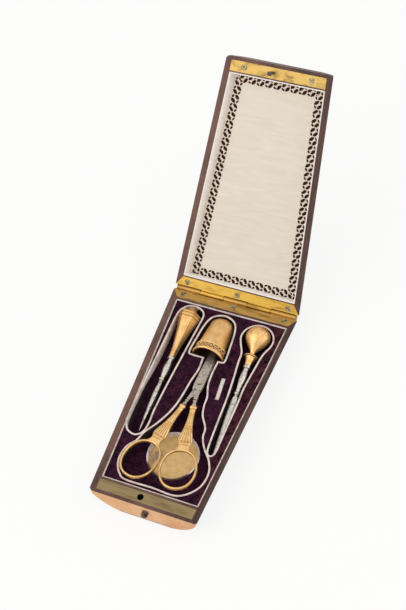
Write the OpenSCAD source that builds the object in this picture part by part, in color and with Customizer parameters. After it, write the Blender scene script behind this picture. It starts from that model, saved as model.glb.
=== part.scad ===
// Tapered wooden sewing etui: a hinged case with a fitted velvet tray that holds a thimble,
// embroidery scissors, a stiletto and a bodkin. The lid stands open at its stop.
// X runs to the right, Y from the front to the hinge, Z up from the table. Sizes are millimetres.

/* [Thimble] */
// Outside diameter of the thimble's rolled rim
thimble_rim_d = 17; // [15:0.2:18]
// Outside diameter where the dome begins
thimble_end_d = 13.2; // [11:0.2:14]
// Length from the rim to the top of the dome
thimble_length = 23.8; // [20:0.2:26]
// Thickness of the thimble's metal
thimble_wall = 0.6; // [0.4:0.1:1]
// How far the thimble's axis lies below the case's rim, at the mouth
thimble_sink = 3; // [2:0.1:5]
// Width of the raised band behind the rim
thimble_band_w = 3.4; // [2:0.1:5]

/* [Scissors] */
// Distance from the pivot to the blade tips
blade_length = 28; // [22:0.5:34]
// Width of a blade at the pivot
blade_w = 4.8; // [3.6:0.1:6]
// Thickness of a blade
blade_t = 1.4; // [1:0.1:1.8]
// Distance from the pivot to the middle of a finger ring
ring_reach = 48.2; // [42:0.2:54]
// Inside width of a finger ring, across the shank
ring_inside_w = 15; // [12:0.2:16]
// Inside length of a finger ring, along the shank
ring_inside_l = 18.4; // [15:0.2:20]
// Thickness of a finger ring's wire
ring_wire = 1.7; // [1.4:0.1:2.4]
// Angle of the left shank from the middle line
left_spread = 12.5; // [11:0.5:16]
// Angle of the right shank from the middle line
right_spread = 10.5; // [10:0.5:16]
// Radius of the pivot rivet
pivot_r = 0.9; // [0.6:0.1:1.2]
// Slope of the scissors in the tray, rings up
scissors_slope = 3.5; // [2:0.5:6]
// Distance from the thimble's mouth to the scissors' pivot
pivot_to_mouth = 15; // [14:0.2:20]

/* [Stiletto] */
// Width across the corners of the six-sided handle
stiletto_head_d = 11.4; // [9:0.2:13]
// Length of the handle
stiletto_handle_l = 29; // [24:0.5:34]
// Length of the steel shaft
stiletto_shaft_l = 41.5; // [30:0.5:44]
// Radius of the shaft where it leaves the handle
stiletto_shaft_r = 1.6; // [1.2:0.1:2]

/* [Bodkin] */
// Diameter of the ball at the end of the handle
bodkin_ball_d = 12.2; // [10:0.2:14]
// Length of the handle
bodkin_handle_l = 21; // [18:0.5:26]
// Length of the steel shaft
bodkin_shaft_l = 49; // [36:0.5:54]
// Width of the flat blade
bodkin_blade_w = 3.4; // [2.4:0.1:4.4]
// Turn of the bodkin away from the middle line
bodkin_turn = 1.4; // [0:0.1:3]

/* [Tray] */
// Height of the rim over the velvet
tray_drop = 1; // [0.6:0.1:2]
// Depth of the tool recesses under the velvet
recess_depth = 5.8; // [5:0.1:8]
// Thickness of the white card strips that line the recesses
card_t = 0.8; // [0.6:0.1:1]
// Thickness of the velvet floor under the recesses
floor_t = 0.8; // [0.5:0.1:1.5]
// Room left around a tool's head in its recess
head_room = 0.6; // [0.5:0.1:1.2]
// Room left around the thimble in its recess
thimble_room = 0.5; // [0.4:0.1:1]
// Room left around the ball in its recess
ball_room = 1.6; // [1.2:0.1:2]
// Room for a finger beside the right ring
finger_room = 4.2; // [3:0.2:8]
// Distance of the recesses from the wall of the case, card included
tray_margin = 2.9; // [2.4:0.1:4]
// Distance between the stiletto's and the thimble's recess, card included
left_web = 1.8; // [1.7:0.1:4]
// Distance between the thimble's and the bodkin's recess, card included
right_web = 3.2; // [2.2:0.1:6]
// Radius of the round finger well under the rings
well_r = 11.8; // [10:0.2:13]
// Depth of the finger well under the velvet floor
well_depth = 3.2; // [2:0.1:4]
// Length of the needle slot
slot_l = 11.6; // [8:0.2:14]
// Width of the needle slot
slot_w = 1.3; // [1:0.1:3]

/* [Case] */
// Thickness of the side walls at the rim
side_wall = 2.9; // [2.6:0.1:4]
// Velvet between the outermost recesses and the side walls
side_velvet = 0.9; // [0.6:0.1:1]
// Thickness of the front wall at the rim
front_wall = 8; // [7.6:0.2:11]
// Thickness of the rear wall at the rim
rear_wall = 5.6; // [5.4:0.2:8]
// Wood left under the thimble
bottom_wall = 1.5; // [1.2:0.1:4]
// Wood left over the silk panel
lid_top = 3; // [2:0.2:5]
// Least wood left in the side walls where they roll in
least_wall = 1.2; // [1:0.1:1.6]
// Height of the middle of the side walls' curve above the rim, on the base
base_lift = 4.3; // [2:0.1:4.6]
// Height of the middle of the side walls' curve above the rim, on the lid
lid_lift = 1.2; // [0.8:0.1:1.6]
// Size of the flat that breaks each upright corner
corner_cut = 1; // [0.4:0.2:2]
// Gap between the rims when the case is shut
rim_gap = 0.3; // [0.2:0.05:0.6]
// Thickness of the pale veneer on the end
veneer_t = 1; // [0.6:0.1:1.6]
// Height of the dark strip left between the rim and the veneer
veneer_drop = 0.4; // [0.3:0.1:1.5]
// Thickness of the silk panel in the lid
panel_t = 1.6; // [1:0.1:2.4]
// Thickness of the cream lining on the lid's walls
lining_t = 0.6; // [0.4:0.1:1]
// Room between the highest tool and the silk panel
lid_clear = 1; // [0.8:0.1:3]

/* [Hinge] */
// Angle that the lid opens to
lid_angle = 132; // [95:1:140]
// Width of a hinge leaf
leaf_w = 5.1; // [4.2:0.1:5.3]
// Thickness of a hinge leaf
leaf_t = 1.2; // [0.8:0.1:1.4]
// How much shorter a leaf's inner edge is at each end
leaf_clip = 3.6; // [2:0.1:4.5]
// Radius of the hinge knuckles
knuckle_r = 1.2; // [1:0.1:1.5]
// Radius of the hinge pin
pin_r = 0.6; // [0.4:0.05:0.8]
// Distance of the pin behind the rear wall
pin_back = 0.8; // [0.6:0.1:1.2]
// Number of knuckles
knuckle_n = 5; // [3:2:9]
// Height of the shoulders that stop the lid
shoulder_h = 4; // [3:0.2:5]

/* [Lock] */
// Width of the brass lock plates
plate_w = 5.2; // [4.4:0.1:5.6]
// Thickness of the brass lock plates
plate_t = 1.2; // [0.8:0.1:1.6]
// Distance of a lock plate behind the front edge
plate_back = 1.6; // [1.4:0.1:2]
// Wood left beyond each end of a lock plate
plate_end = 3; // [2:0.1:5]
// Distance of the catch to the left of the middle
catch_left = 2.6; // [0:0.1:5]
// Radius of the hole that takes the catch
catch_hole_r = 1.55; // [1.5:0.05:1.9]
// Distance of the push button to the right of the middle
button_right = 1; // [1:0.1:3]
// Depth of the push button under the rim
button_drop = 5; // [4.6:0.1:6]
// Radius of the push button's head
button_r = 1.7; // [1:0.1:1.8]
// Travel of the push button
button_travel = 1.2; // [0.8:0.1:1.4]
// Thickness of the latch spring
spring_t = 0.35; // [0.25:0.05:0.5]
// Radius of a screw head
screw_r = 1.45; // [1.1:0.05:1.7]

/* [Hidden] */
$fn = 64;
// Play in running fits, and between pieces that are set into each other
play = 0.05;
// Gap under a tool that rests on its bed
rest_gap = 0.1;

// Heights of the thimble, the stiletto and the bodkin over the rim
thimble_top = thimble_rim_d / 2 - thimble_sink;
tray_z = -tray_drop;
floor_z = tray_z - recess_depth;
stiletto_axis_z = floor_z + stiletto_head_d / 2 * cos(30) + rest_gap;
stiletto_top = stiletto_axis_z + stiletto_head_d / 2;
bodkin_axis_z = floor_z + bodkin_ball_d / 2 + rest_gap;
bodkin_top = bodkin_axis_z + bodkin_ball_d / 2;

// Depth of the base, from the deepest recess, and of the lid, from the highest tool
bed_t = 0.6;
bed_z = -thimble_sink - thimble_rim_d / 2 - rest_gap;
rim = bottom_wall + bed_t + play - bed_z;
crown = max(thimble_top, stiletto_top, bodkin_top) + lid_clear;
panel_z = crown - rim_gap;
lid_height = panel_z + panel_t + lid_top;

// Outside of a finger ring
ring_half_w = ring_inside_w / 2 + ring_wire;
ring_half_l = ring_inside_l / 2 + ring_wire;

// Length of the case: walls, margins, scissors and thimble in a row
ring_room = 0.5;
mouth_room = 0.9;
front_margin = 2.5;
handle_reach = ring_reach * cos(left_spread) + ring_half_l;
case_length = front_wall + front_margin + ring_room + handle_reach + pivot_to_mouth + thimble_length
    + thimble_room + tray_margin + rear_wall;
front_y = -case_length / 2;
rear_y = case_length / 2;
tray_front_y = front_y + front_wall;
tray_rear_y = rear_y - rear_wall;
mouth_y = tray_rear_y - tray_margin - thimble_room - thimble_length;
pivot_y = mouth_y - pivot_to_mouth;

// Width of the case: the three heads side by side near the hinge, the two rings near the front
head_half = stiletto_head_d / 2 + head_room;
thimble_half = thimble_rim_d / 2 + thimble_room;
ball_half = bodkin_ball_d / 2 + ball_room;
head_row = 2 * (head_half + thimble_half + ball_half) + left_web + right_web + 2 * tray_margin;
stiletto_x = -head_row / 2 + tray_margin + head_half;
thimble_x = stiletto_x + head_half + left_web + thimble_half;
bodkin_x = thimble_x + thimble_half + right_web + ball_half;
scissors_x = thimble_x + 2.2;
right_reach = scissors_x + ring_reach * sin(right_spread) + ring_half_w + finger_room;
head_row_y = mouth_y + 0.8 * thimble_length;
front_half = side_wall + side_velvet + right_reach + 0.6;
head_row_half = head_row / 2 + side_velvet + side_wall;
widening = (head_row_half - front_half) / (head_row_y - front_y);
function half_at(y) = front_half + widening * (y - front_y);
taper = atan(widening);

// Hinge axis
axis_y = rear_y + pin_back;
axis_z = rim + rim_gap / 2;
lid_rim = rim + rim_gap;
leaf_half = half_at(rear_y) + 0.2;
barrel_half = leaf_half - 1.6;

// Scissors: middle of the pivot, and the levels of the two halves over one another
pivot_z = rim - 2;
level_gap = 0.1;

// Lock: the places of the catch, the spring and the button from the front edge
catch_y = front_y + plate_back + plate_w / 2;
catch_w = 1.8;
catch_t = 1.1;
catch_back = 0.2;
tooth = 0.75;
spring_y = catch_y + catch_t / 2 - catch_back + play;
pocket_wall = 2.4;
pocket_front_y = front_y + pocket_wall;
pocket_rear_y = spring_y + spring_t + button_travel + 0.3;

// Colours
rosewood = "#5b3a2e";
pale_wood = "#dca878";
dull_brass = "#8d7a4f";
brass = "#d2ae5c";
gilt = "#d9a55c";
steel = "#9a938b";
velvet = "#2c1424";
card = "#e6dcd0";
cream = "#e4d8c4";

// A smooth closed outline through hand-set points that run anticlockwise, and the same moved outwards
smooth_steps = 5;
function spline(a, b, c, d, t) =
    0.5 * (2 * b + (c - a) * t + (2 * a - 5 * b + 4 * c - d) * t * t + (3 * b - a - 3 * c + d) * t * t * t);
function smooth(p) = let (n = len(p)) [
    for (i = [0 : n - 1], k = [0 : smooth_steps - 1])
        spline(p[(i + n - 1) % n], p[i], p[(i + 1) % n], p[(i + 2) % n], k / smooth_steps)
];
function right_of(v) = [v[1], -v[0]] / norm(v);
function grow(p, d) = let (n = len(p)) [
    for (i = [0 : n - 1]) p[i] + d * right_of(p[(i + 1) % n] - p[(i + n - 1) % n])
];
function turned(p, a) = [p[0] * cos(a) - p[1] * sin(a), p[0] * sin(a) + p[1] * cos(a)];
function around(c, w, l, turn, a) = c + turned([w * cos(a), l * sin(a)], turn);

// Tapered plan of the case, drawn in by a margin at the sides, the front and the rear
module plan(side, front, rear) {
    y0 = front_y + front;
    y1 = rear_y - rear;
    polygon([
        [-half_at(y0) + side, y0], [half_at(y0) - side, y0],
        [half_at(y1) - side, y1], [-half_at(y1) + side, y1]
    ]);
}

// Everything inside one side wall that rolls in under the rim. The wall stands on the X axis and the
// case lies on its +Y side. The curve's middle lies above the rim, and its lowest point just under the
// flat underside. A wall's thickness moves the face inwards.
tuck = 0.5;
module inside_wall(h, lift, wall) {
    reach = 2 * case_length;
    r = h + tuck + lift;
    middle = sqrt(r * r - lift * lift);
    translate([0, middle, lift]) rotate([0, 90, 0]) cylinder(h = reach, r = r - wall, center = true, $fn = 180);
    translate([-reach / 2, middle, -reach / 2]) cube([reach, reach, reach]);
}

module rolled_form(h, lift, wall) {
    intersection_for(s = [-1, 1])
        translate([s * half_at(front_y), front_y, 0]) rotate([0, 0, s * (90 - taper)])
            inside_wall(h, lift, wall);
}

// Half of the case, solid, hanging from its rim at z = 0
module case_half(h, lift) {
    intersection() {
        rolled_form(h, lift, 0);
        translate([-case_length, front_y, -h]) cube([2 * case_length, case_length, h]);
        intersection_for(s = [-1, 1], y = [front_y, rear_y])
            corner_flat(s, y);
    }
}

// Everything inside the flat that breaks one upright corner
module corner_flat(s, y) {
    reach = 2 * case_length;
    out = sign(y);
    translate([s * (half_at(y) - corner_cut), y, 0]) rotate([0, 0, -45 * s * out + (out > 0 ? 180 : 0)])
        translate([-reach, 0, -reach / 2]) cube([2 * reach, 2 * reach, reach]);
}

// Veneered skin of the flat front end, a little short of the rim and of the underside, and the room for it
module skin_room(h, gap) {
    reach = 2 * case_length;
    low = 0.4;
    translate([-reach / 2, front_y - 1, -h + low - gap])
        cube([reach, veneer_t + gap + 1, h - low - veneer_drop + 2 * gap]);
}
module end_skin(h, lift) {
    intersection() {
        case_half(h, lift);
        skin_room(h, 0);
    }
}

// Lid pieces are drawn shut and turned open about the hinge axis
module opened() {
    translate([0, axis_y, axis_z]) rotate([-lid_angle, 0, 0]) translate([0, -axis_y, -axis_z]) children();
}

// Pieces drawn downwards from the rim of the base, and upwards from the rim of the shut lid
module from_base_rim() { translate([0, 0, rim]) children(); }
module from_lid_rim() { opened() translate([0, 0, lid_rim]) mirror([0, 0, 1]) children(); }

// What lies inside the least wood of the rolled walls, with a gap
module in_base(gap) {
    intersection() {
        rolled_form(rim, base_lift, least_wall + gap);
        children();
    }
}
module in_lid(gap) {
    intersection() {
        rolled_form(lid_height, lid_lift, least_wall + gap);
        children();
    }
}

// Countersunk wood screw with its head flush at z = 0, and the hole it sits in
screw_l = 5;
screw_shank_r = 0.65;
head_h = 0.7;
module screw() {
    slot = 0.4;
    difference() {
        union() {
            translate([0, 0, -head_h]) cylinder(h = head_h, r1 = screw_shank_r, r2 = screw_r);
            translate([0, 0, -screw_l]) cylinder(h = screw_l - head_h, r = screw_shank_r);
        }
        rotate([0, 0, 35]) translate([-screw_r - 1, -slot / 2, -slot]) cube([2 * screw_r + 2, slot, 1]);
    }
}
module screw_hole() {
    translate([0, 0, -head_h]) cylinder(h = head_h, r1 = screw_shank_r + play, r2 = screw_r + play);
    translate([0, 0, -screw_l - play]) cylinder(h = screw_l, r = screw_shank_r + play);
    cylinder(h = 1, r = screw_r + play);
}
leaf_screw_y = rear_y - leaf_w / 2;
leaf_screw_x = leaf_half - 6.3;
module leaf_screw_places() {
    for (s = [-1, 0, 1]) translate([s * leaf_screw_x, leaf_screw_y, 0]) children();
}
plate_screw_x = half_at(catch_y) * 0.63;
module plate_screw_places() {
    for (s = [-1, 1]) translate([s * plate_screw_x, catch_y, 0]) children();
}

// Hinge leaf plan with clipped ends, and lock plate plan
module leaf_plan(gap) {
    y0 = rear_y - leaf_w - gap;
    w0 = leaf_half - leaf_clip + gap;
    w1 = leaf_half + gap;
    polygon([[-w0, y0], [w0, y0], [w1, rear_y + gap], [-w1, rear_y + gap]]);
}
module plate_plan(gap) {
    y0 = front_y + plate_back - gap;
    y1 = front_y + plate_back + plate_w + gap;
    w0 = half_at(y0) - plate_end + gap;
    w1 = half_at(y1) - plate_end + gap;
    polygon([[-w0, y0], [w0, y0], [w1, y1], [-w1, y1]]);
}

// One hinge leaf with its knuckles and its stop shoulder, hanging from the rim at z = 0. The leaf ends
// flush with the wood. Knuckles are numbered from the left, and a leaf owns every second one.
knuckle_step = 2 * barrel_half / knuckle_n;
knuckle_gap = 0.2;
knuckle_room = 0.25;
shoulder_gap = 0.06;
function knuckle_x(i) = -barrel_half + i * knuckle_step;
module along_x(x, l) {
    translate([x, axis_y, rim_gap / 2]) rotate([90, 0, 90]) linear_extrude(l) children();
}
module shoulder_profile() {
    lean = 90 - lid_angle / 2;
    z0 = -knuckle_r - knuckle_room - play;
    z1 = -shoulder_h;
    back = -pin_back + play;
    polygon([
        [back, z0], [back, z1],
        [-z1 * tan(lean) - shoulder_gap, z1], [-z0 * tan(lean) - shoulder_gap, z0]
    ]);
}
module knuckle_profile() {
    circle(r = knuckle_r);
    polygon([
        [-pin_back - 0.4, -rim_gap / 2], [0, -rim_gap / 2], [0, -knuckle_r - 0.6],
        [-pin_back + play, -knuckle_r - 0.6], [-pin_back + play, -rim_gap / 2 - leaf_t],
        [-pin_back - 0.4, -rim_gap / 2 - leaf_t]
    ]);
}
module hinge_leaf(first, h, lift) {
    difference() {
        union() {
            difference() {
                union() {
                    intersection() {
                        translate([0, 0, -leaf_t]) linear_extrude(leaf_t) leaf_plan(0);
                        case_half(h, lift);
                    }
                    along_x(-barrel_half, 2 * barrel_half) shoulder_profile();
                }
                for (i = [0 : knuckle_n - 1])
                    if (i % 2 != first)
                        along_x(knuckle_x(i) - knuckle_gap, knuckle_step + 2 * knuckle_gap)
                            circle(r = knuckle_r + knuckle_room);
            }
            for (i = [0 : knuckle_n - 1])
                if (i % 2 == first)
                    along_x(knuckle_x(i) + knuckle_gap / 2, knuckle_step - knuckle_gap) knuckle_profile();
        }
        along_x(-barrel_half - 1, 2 * barrel_half + 2) circle(r = pin_r + play);
        leaf_screw_places() screw_hole();
    }
}

// Outlines of the recesses in the tray, moved outwards by d
module thimble_recess(d) {
    r0 = thimble_rim_d / 2 + thimble_room;
    r1 = thimble_end_d / 2 + thimble_room + 0.4;
    l = thimble_length;
    p = [for (q = [
        [-r0, 0.4], [-r0 + 1.6, -mouth_room], [0, -mouth_room], [r0 - 1.6, -mouth_room], [r0, 0.4],
        [r0 - 0.5, 0.35 * l], [r1, 0.72 * l], [r1 - 2.2, 0.93 * l], [0, l + thimble_room],
        [-r1 + 2.2, 0.93 * l], [-r1, 0.72 * l], [-r0 + 0.5, 0.35 * l]
    ]) q + [thimble_x, mouth_y]];
    polygon(grow(smooth(p), d));
}

// The rings' middles, seen from above
left_ring = [scissors_x, pivot_y] + ring_reach * [-sin(left_spread), -cos(left_spread)];
right_ring = [scissors_x, pivot_y] + ring_reach * [sin(right_spread), -cos(right_spread)];
module scissors_recess(d) {
    pivot = [scissors_x, pivot_y];
    half = blade_w / 2;
    r = ring_reach;
    w = ring_half_w + ring_room;
    l = ring_half_l + ring_room;
    wide = ring_half_w + finger_room;
    p = concat(
        [
            pivot + [-half - 0.5, pivot_to_mouth + 1], pivot + [-half - 0.5, 7], pivot + [-half - 1.6, 0],
            pivot + [-half - 2.4, -0.17 * r], pivot + [-half - 3.4, -0.31 * r],
            pivot + [-half - 5.4, -0.44 * r], pivot + [-half - 8.4, -0.57 * r], pivot + [-half - 12, -0.69 * r]
        ],
        [for (a = [140 : 26 : 270]) around(left_ring, w, l, -left_spread, a)],
        [(left_ring + right_ring) / 2 + [1, -l + 0.6]],
        [around(right_ring, w, l, right_spread, 280), around(right_ring, wide - 1, l, right_spread, 325)],
        [around(right_ring, wide, l, right_spread, 5)],
        [
            pivot + [half + 17, -0.78 * r], pivot + [half + 12.6, -0.67 * r], pivot + [half + 9.8, -0.56 * r],
            pivot + [half + 9, -0.46 * r], pivot + [half + 5.4, -0.34 * r], pivot + [half + 4, -0.23 * r],
            pivot + [half + 3.6, -0.13 * r], pivot + [half + 1.6, 0], pivot + [half + 1, 7],
            pivot + [half + 0.8, pivot_to_mouth + 1]
        ]
    );
    polygon(grow(smooth(p), d));
}

// The stiletto and the bodkin lie with their heads towards the hinge
stiletto_l = stiletto_handle_l + stiletto_shaft_l;
stiletto_head_y = tray_rear_y - tray_margin;
module stiletto_recess(d) {
    r = head_half;
    l = stiletto_l;
    p = [for (q = [
        [-r + 0.2, -6], [-r + 0.2, -0.3 * l], [-r + 0.2, -0.65 * l], [-r + 0.5, -0.94 * l],
        [-r + 1.8, -l - 1.4], [-2, -l - 3.6], [1, -l - 4], [r - 2.7, -l - 1.6], [r - 2, -0.95 * l],
        [r - 2.4, -0.84 * l], [r - 1.9, -0.6 * l], [r - 1.2, -0.4 * l], [r - 0.3, -0.15 * l],
        [r, -4], [r - 1, -1], [2.4, 0.6], [-1.6, 0.6], [-4.4, -1.4]
    ]) q + [stiletto_x, stiletto_head_y]];
    polygon(grow(smooth(p), d));
}
bodkin_l = bodkin_handle_l + bodkin_shaft_l;
bodkin_head_y = tray_rear_y - tray_margin - ball_room;
module bodkin_recess(d) {
    r = ball_half;
    c = -bodkin_ball_d / 2;
    l = bodkin_l;
    w = bodkin_blade_w / 2;
    p = [for (q = concat(
        [for (a = [-14 : 32 : 210]) [r * cos(a) - 0.3, c + r * sin(a)]],
        [[-w - 2.9, -0.22 * l], [-w - 2.6, -0.3 * l], [-w - 1.7, -0.44 * l], [-w - 1, -0.6 * l]],
        [[-w - 0.7, -0.85 * l], [-w, -l - 1], [w - 0.6, -l - 1], [w, -0.85 * l]],
        [[w + 0.6, -0.6 * l], [w + 0.6, -0.5 * l], [w + 1.3, -0.4 * l], [w + 2.2, -0.3 * l]],
        [[w + 2.7, -0.24 * l], [w + 3.6, -0.18 * l]]
    )) turned(q, bodkin_turn) + [bodkin_x, bodkin_head_y]];
    polygon(grow(smooth(p), d));
}
slot_x = (scissors_x + bodkin_x) / 2 + 1.7;
slot_y = pivot_y;
module slot_recess(d) {
    translate([slot_x, slot_y]) rotate(5) square([slot_w + 2 * d, slot_l + 2 * d], center = true);
}
module all_recesses(d) {
    thimble_recess(d);
    scissors_recess(d);
    stiletto_recess(d);
    bodkin_recess(d);
}
module tray_plan(gap) { plan(side_wall + gap, front_wall + gap, rear_wall + gap); }

// Finger well, between the two rings and a little up the shanks
well_ahead = 9.4;
well = [scissors_x + 1.2, (left_ring[1] + right_ring[1]) / 2 + well_ahead];
well_card_r = well_r + card_t;

// Pocket for the latch in the front wall, and the kerf that holds the spring's end
spring_low = -button_drop - 1.4;
spring_high = -button_drop + 1.4;
spring_x0 = -catch_left - 13;
spring_x1 = button_right + 3.5;
kerf_l = 4;
module latch_pocket() {
    deep = button_drop + 2.4;
    translate([spring_x0 + kerf_l, pocket_front_y, -deep])
        cube([spring_x1 + 1 - spring_x0 - kerf_l, pocket_rear_y - pocket_front_y, deep]);
    translate([spring_x0 - play, spring_y - play, spring_low - play])
        cube([kerf_l + 1, spring_t + 2 * play, -spring_low + play]);
}
module button_hole() {
    translate([button_right, front_y - 2, -button_drop]) rotate([-90, 0, 0])
        cylinder(h = pocket_front_y - front_y + 3, r = button_stem_r + play);
}
button_stem_r = button_r - 0.15;

// Base

module base_shell() {
    color(rosewood) from_base_rim() difference() {
        case_half(rim, base_lift);
        skin_room(rim, play);
        in_base(0) translate([0, 0, floor_z - floor_t - play]) linear_extrude(rim) tray_plan(0);
        translate([0, 0, bed_z - bed_t - play]) linear_extrude(rim) thimble_recess(card_t);
        translate([well[0], well[1], floor_z - well_depth - floor_t - play])
            cylinder(h = rim, r = well_card_r + play);
        translate([0, 0, -leaf_t - play]) linear_extrude(leaf_t + 1) leaf_plan(play);
        translate([0, 0, -plate_t - play]) linear_extrude(plate_t + 1) plate_plan(play);
        leaf_screw_places() screw_hole();
        latch_pocket();
        button_hole();
    }
}

module front_veneer() {
    color(pale_wood) from_base_rim() difference() {
        end_skin(rim, base_lift);
        button_hole();
    }
}

module lock_plate() {
    color(dull_brass) from_base_rim() difference() {
        translate([0, 0, -plate_t]) linear_extrude(plate_t) plate_plan(0);
        translate([-catch_left, catch_y, -plate_t - 1]) cylinder(h = plate_t + 2, r = catch_hole_r);
    }
}

module latch_spring() {
    window_w = catch_w + 0.8;
    color(steel) from_base_rim() difference() {
        translate([spring_x0, spring_y, spring_low])
            cube([spring_x1 - spring_x0, spring_t, spring_high - spring_low]);
        translate([-catch_left - window_w / 2, spring_y - 1, -button_drop - 0.7])
            cube([window_w, spring_t + 2, 1.4]);
    }
}

// The head stands proud of the front; a collar inside keeps the button in
module push_button() {
    proud = 2.6;
    collar_t = 0.6;
    dome = 0.5;
    spring_gap = 0.15;
    color(steel) from_base_rim() translate([button_right, 0, -button_drop]) rotate([-90, 0, 0]) {
        translate([0, 0, front_y - proud]) cylinder(h = dome, r1 = button_stem_r - dome, r2 = button_stem_r);
        translate([0, 0, front_y - proud + dome])
            cylinder(h = spring_y - spring_gap - front_y + proud - dome, r = button_stem_r);
        translate([0, 0, pocket_front_y + 0.1]) cylinder(h = collar_t, r = button_stem_r + 0.5);
    }
}

module base_hinge_leaf() { color(dull_brass) from_base_rim() hinge_leaf(0, rim, base_lift); }
module base_leaf_screws() { color(dull_brass) from_base_rim() leaf_screw_places() screw(); }
module hinge_pin() {
    color(brass) translate([-barrel_half, axis_y, axis_z]) rotate([0, 90, 0])
        cylinder(h = 2 * barrel_half, r = pin_r);
}

// Tray

module tray_board() {
    color(velvet) from_base_rim() in_base(play) translate([0, 0, floor_z]) linear_extrude(recess_depth)
        difference() {
            tray_plan(card_t + play);
            all_recesses(card_t);
            slot_recess(card_t / 2);
        }
}

// White card on the walls of the recesses and round the tray, a little proud of the velvet
module card_edging() {
    card_proud = 0.15;
    color(card) from_base_rim() in_base(play)
        translate([0, 0, floor_z]) linear_extrude(recess_depth + card_proud) difference() {
            intersection() {
                union() {
                    all_recesses(card_t);
                    difference() {
                        tray_plan(play);
                        tray_plan(card_t + play);
                    }
                }
                tray_plan(play);
            }
            all_recesses(0);
        }
}

module recess_floor() {
    color(velvet) from_base_rim() in_base(play) translate([0, 0, floor_z - floor_t]) linear_extrude(floor_t)
        difference() {
            tray_plan(play);
            thimble_recess(0);
            translate(well) circle(r = well_card_r + play);
        }
}

module thimble_bed() {
    color(velvet) from_base_rim() translate([0, 0, bed_z - bed_t]) linear_extrude(bed_t)
        thimble_recess(card_t - play);
}

// Velvet block under the bolsters of the scissors
bolster_r = 1.2;
module scissors_rest() {
    rest_y = -bolster_start - 2.4;
    rest_w = 10;
    rest_l = 3;
    under = pivot_z - rim - rest_y * tan(scissors_slope) - bolster_level - bolster_r - 0.35;
    color(velvet) from_base_rim()
        translate([scissors_x - rest_w / 2, pivot_y + rest_y - rest_l / 2, floor_z])
            cube([rest_w, rest_l, under - floor_z]);
}

module well_wall() {
    color(card) from_base_rim() translate([well[0], well[1], floor_z - well_depth]) difference() {
        cylinder(h = well_depth + 0.2, r = well_card_r);
        translate([0, 0, -1]) cylinder(h = well_depth + 3, r = well_r);
    }
}
module well_floor() {
    color(cream) from_base_rim() translate([well[0], well[1], floor_z - well_depth - floor_t])
        cylinder(h = floor_t, r = well_card_r);
}

// White card folded into the slit for needles
module slot_card() {
    sunk = 0.6;
    color(card) from_base_rim() translate([0, 0, floor_z]) linear_extrude(recess_depth - sunk)
        slot_recess(card_t / 2 - play);
}

// Lid

lid_front_wall = plate_back + plate_w + 0.6;
module lid_pocket_plan(gap) { plan(side_wall + gap, lid_front_wall + gap, rear_wall + gap); }

module lid_shell() {
    color(rosewood) from_lid_rim() difference() {
        case_half(lid_height, lid_lift);
        skin_room(lid_height, play);
        in_lid(0) translate([0, 0, -panel_z - panel_t - play]) linear_extrude(lid_height) lid_pocket_plan(0);
        translate([0, 0, -leaf_t - play]) linear_extrude(leaf_t + 1) leaf_plan(play);
        translate([0, 0, -plate_t - play]) linear_extrude(plate_t + 1) plate_plan(play);
        leaf_screw_places() screw_hole();
        plate_screw_places() screw_hole();
    }
}

module lid_veneer() { color(pale_wood) from_lid_rim() end_skin(lid_height, lid_lift); }
module lid_hinge_leaf() { color(brass) from_lid_rim() hinge_leaf(1, lid_height, lid_lift); }
module lid_leaf_screws() { color(brass) from_lid_rim() leaf_screw_places() screw(); }

module lid_plate() {
    color(brass) from_lid_rim() difference() {
        translate([0, 0, -plate_t]) linear_extrude(plate_t) plate_plan(0);
        plate_screw_places() screw_hole();
    }
}
module lid_plate_screws() { color(brass) from_lid_rim() plate_screw_places() screw(); }

// Hook that drops through the lock plate; its tooth springs into the window of the latch
module lid_catch() {
    tooth_h = 0.8;
    hook_l = button_drop + rim_gap + tooth_h / 2;
    color(steel) from_lid_rim() translate([-catch_left - catch_w / 2, catch_y - catch_t / 2 - catch_back, 0])
        rotate([90, 0, 90]) linear_extrude(catch_w) polygon([
            [0, 0], [catch_t, 0], [catch_t, hook_l - tooth_h], [catch_t + tooth, hook_l - tooth_h],
            [catch_t, hook_l], [0, hook_l]
        ]);
}

module lid_lining() {
    under_rim = 0.4;
    color(cream) from_lid_rim() in_lid(play)
        translate([0, 0, -panel_z + play]) linear_extrude(panel_z - under_rim) difference() {
            lid_pocket_plan(play);
            lid_pocket_plan(lining_t + play);
        }
}

module silk_panel() {
    color(cream) from_lid_rim() in_lid(play)
        translate([0, 0, -panel_z - panel_t]) linear_extrude(panel_t) lid_pocket_plan(play);
}

// Thimble, drawn upright with its mouth down at z = 0

rim_roll = 0.5;
thimble_cone_l = thimble_length * 0.78;
thimble_lean = atan((thimble_rim_d - thimble_end_d) / 2 / thimble_cone_l);
module thimble_form(shrink, from) {
    r1 = thimble_end_d / 2 - shrink;
    dome_h = thimble_length - shrink - thimble_cone_l;
    dome_r = (r1 * r1 + dome_h * dome_h) / (2 * dome_h);
    r0 = thimble_rim_d / 2 - rim_roll - shrink;
    translate([0, 0, from]) cylinder(h = thimble_cone_l - from, r1 = r0, r2 = r1);
    intersection() {
        translate([0, 0, thimble_length - shrink - dome_r]) sphere(r = dome_r);
        translate([0, 0, thimble_cone_l]) cylinder(h = dome_h + 1, r = r1);
    }
}
module thimble() {
    bead = 0.55;
    band_r = thimble_rim_d / 2 - 0.35;
    color(gilt) translate([thimble_x, mouth_y, rim - thimble_sink]) rotate([-90 - thimble_lean, 0, 0])
        difference() {
            union() {
                thimble_form(0, 0);
                cylinder(h = thimble_band_w, r1 = band_r, r2 = band_r - 0.2);
                for (z = [0.6, thimble_band_w + 0.5])
                    translate([0, 0, z]) rotate_extrude()
                        translate([thimble_rim_d / 2 - bead - z * 0.1, 0]) circle(r = bead);
            }
            thimble_form(thimble_wall, -1);
            translate([0, 0, -2]) cylinder(h = 2, r = thimble_rim_d);
        }
}

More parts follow.
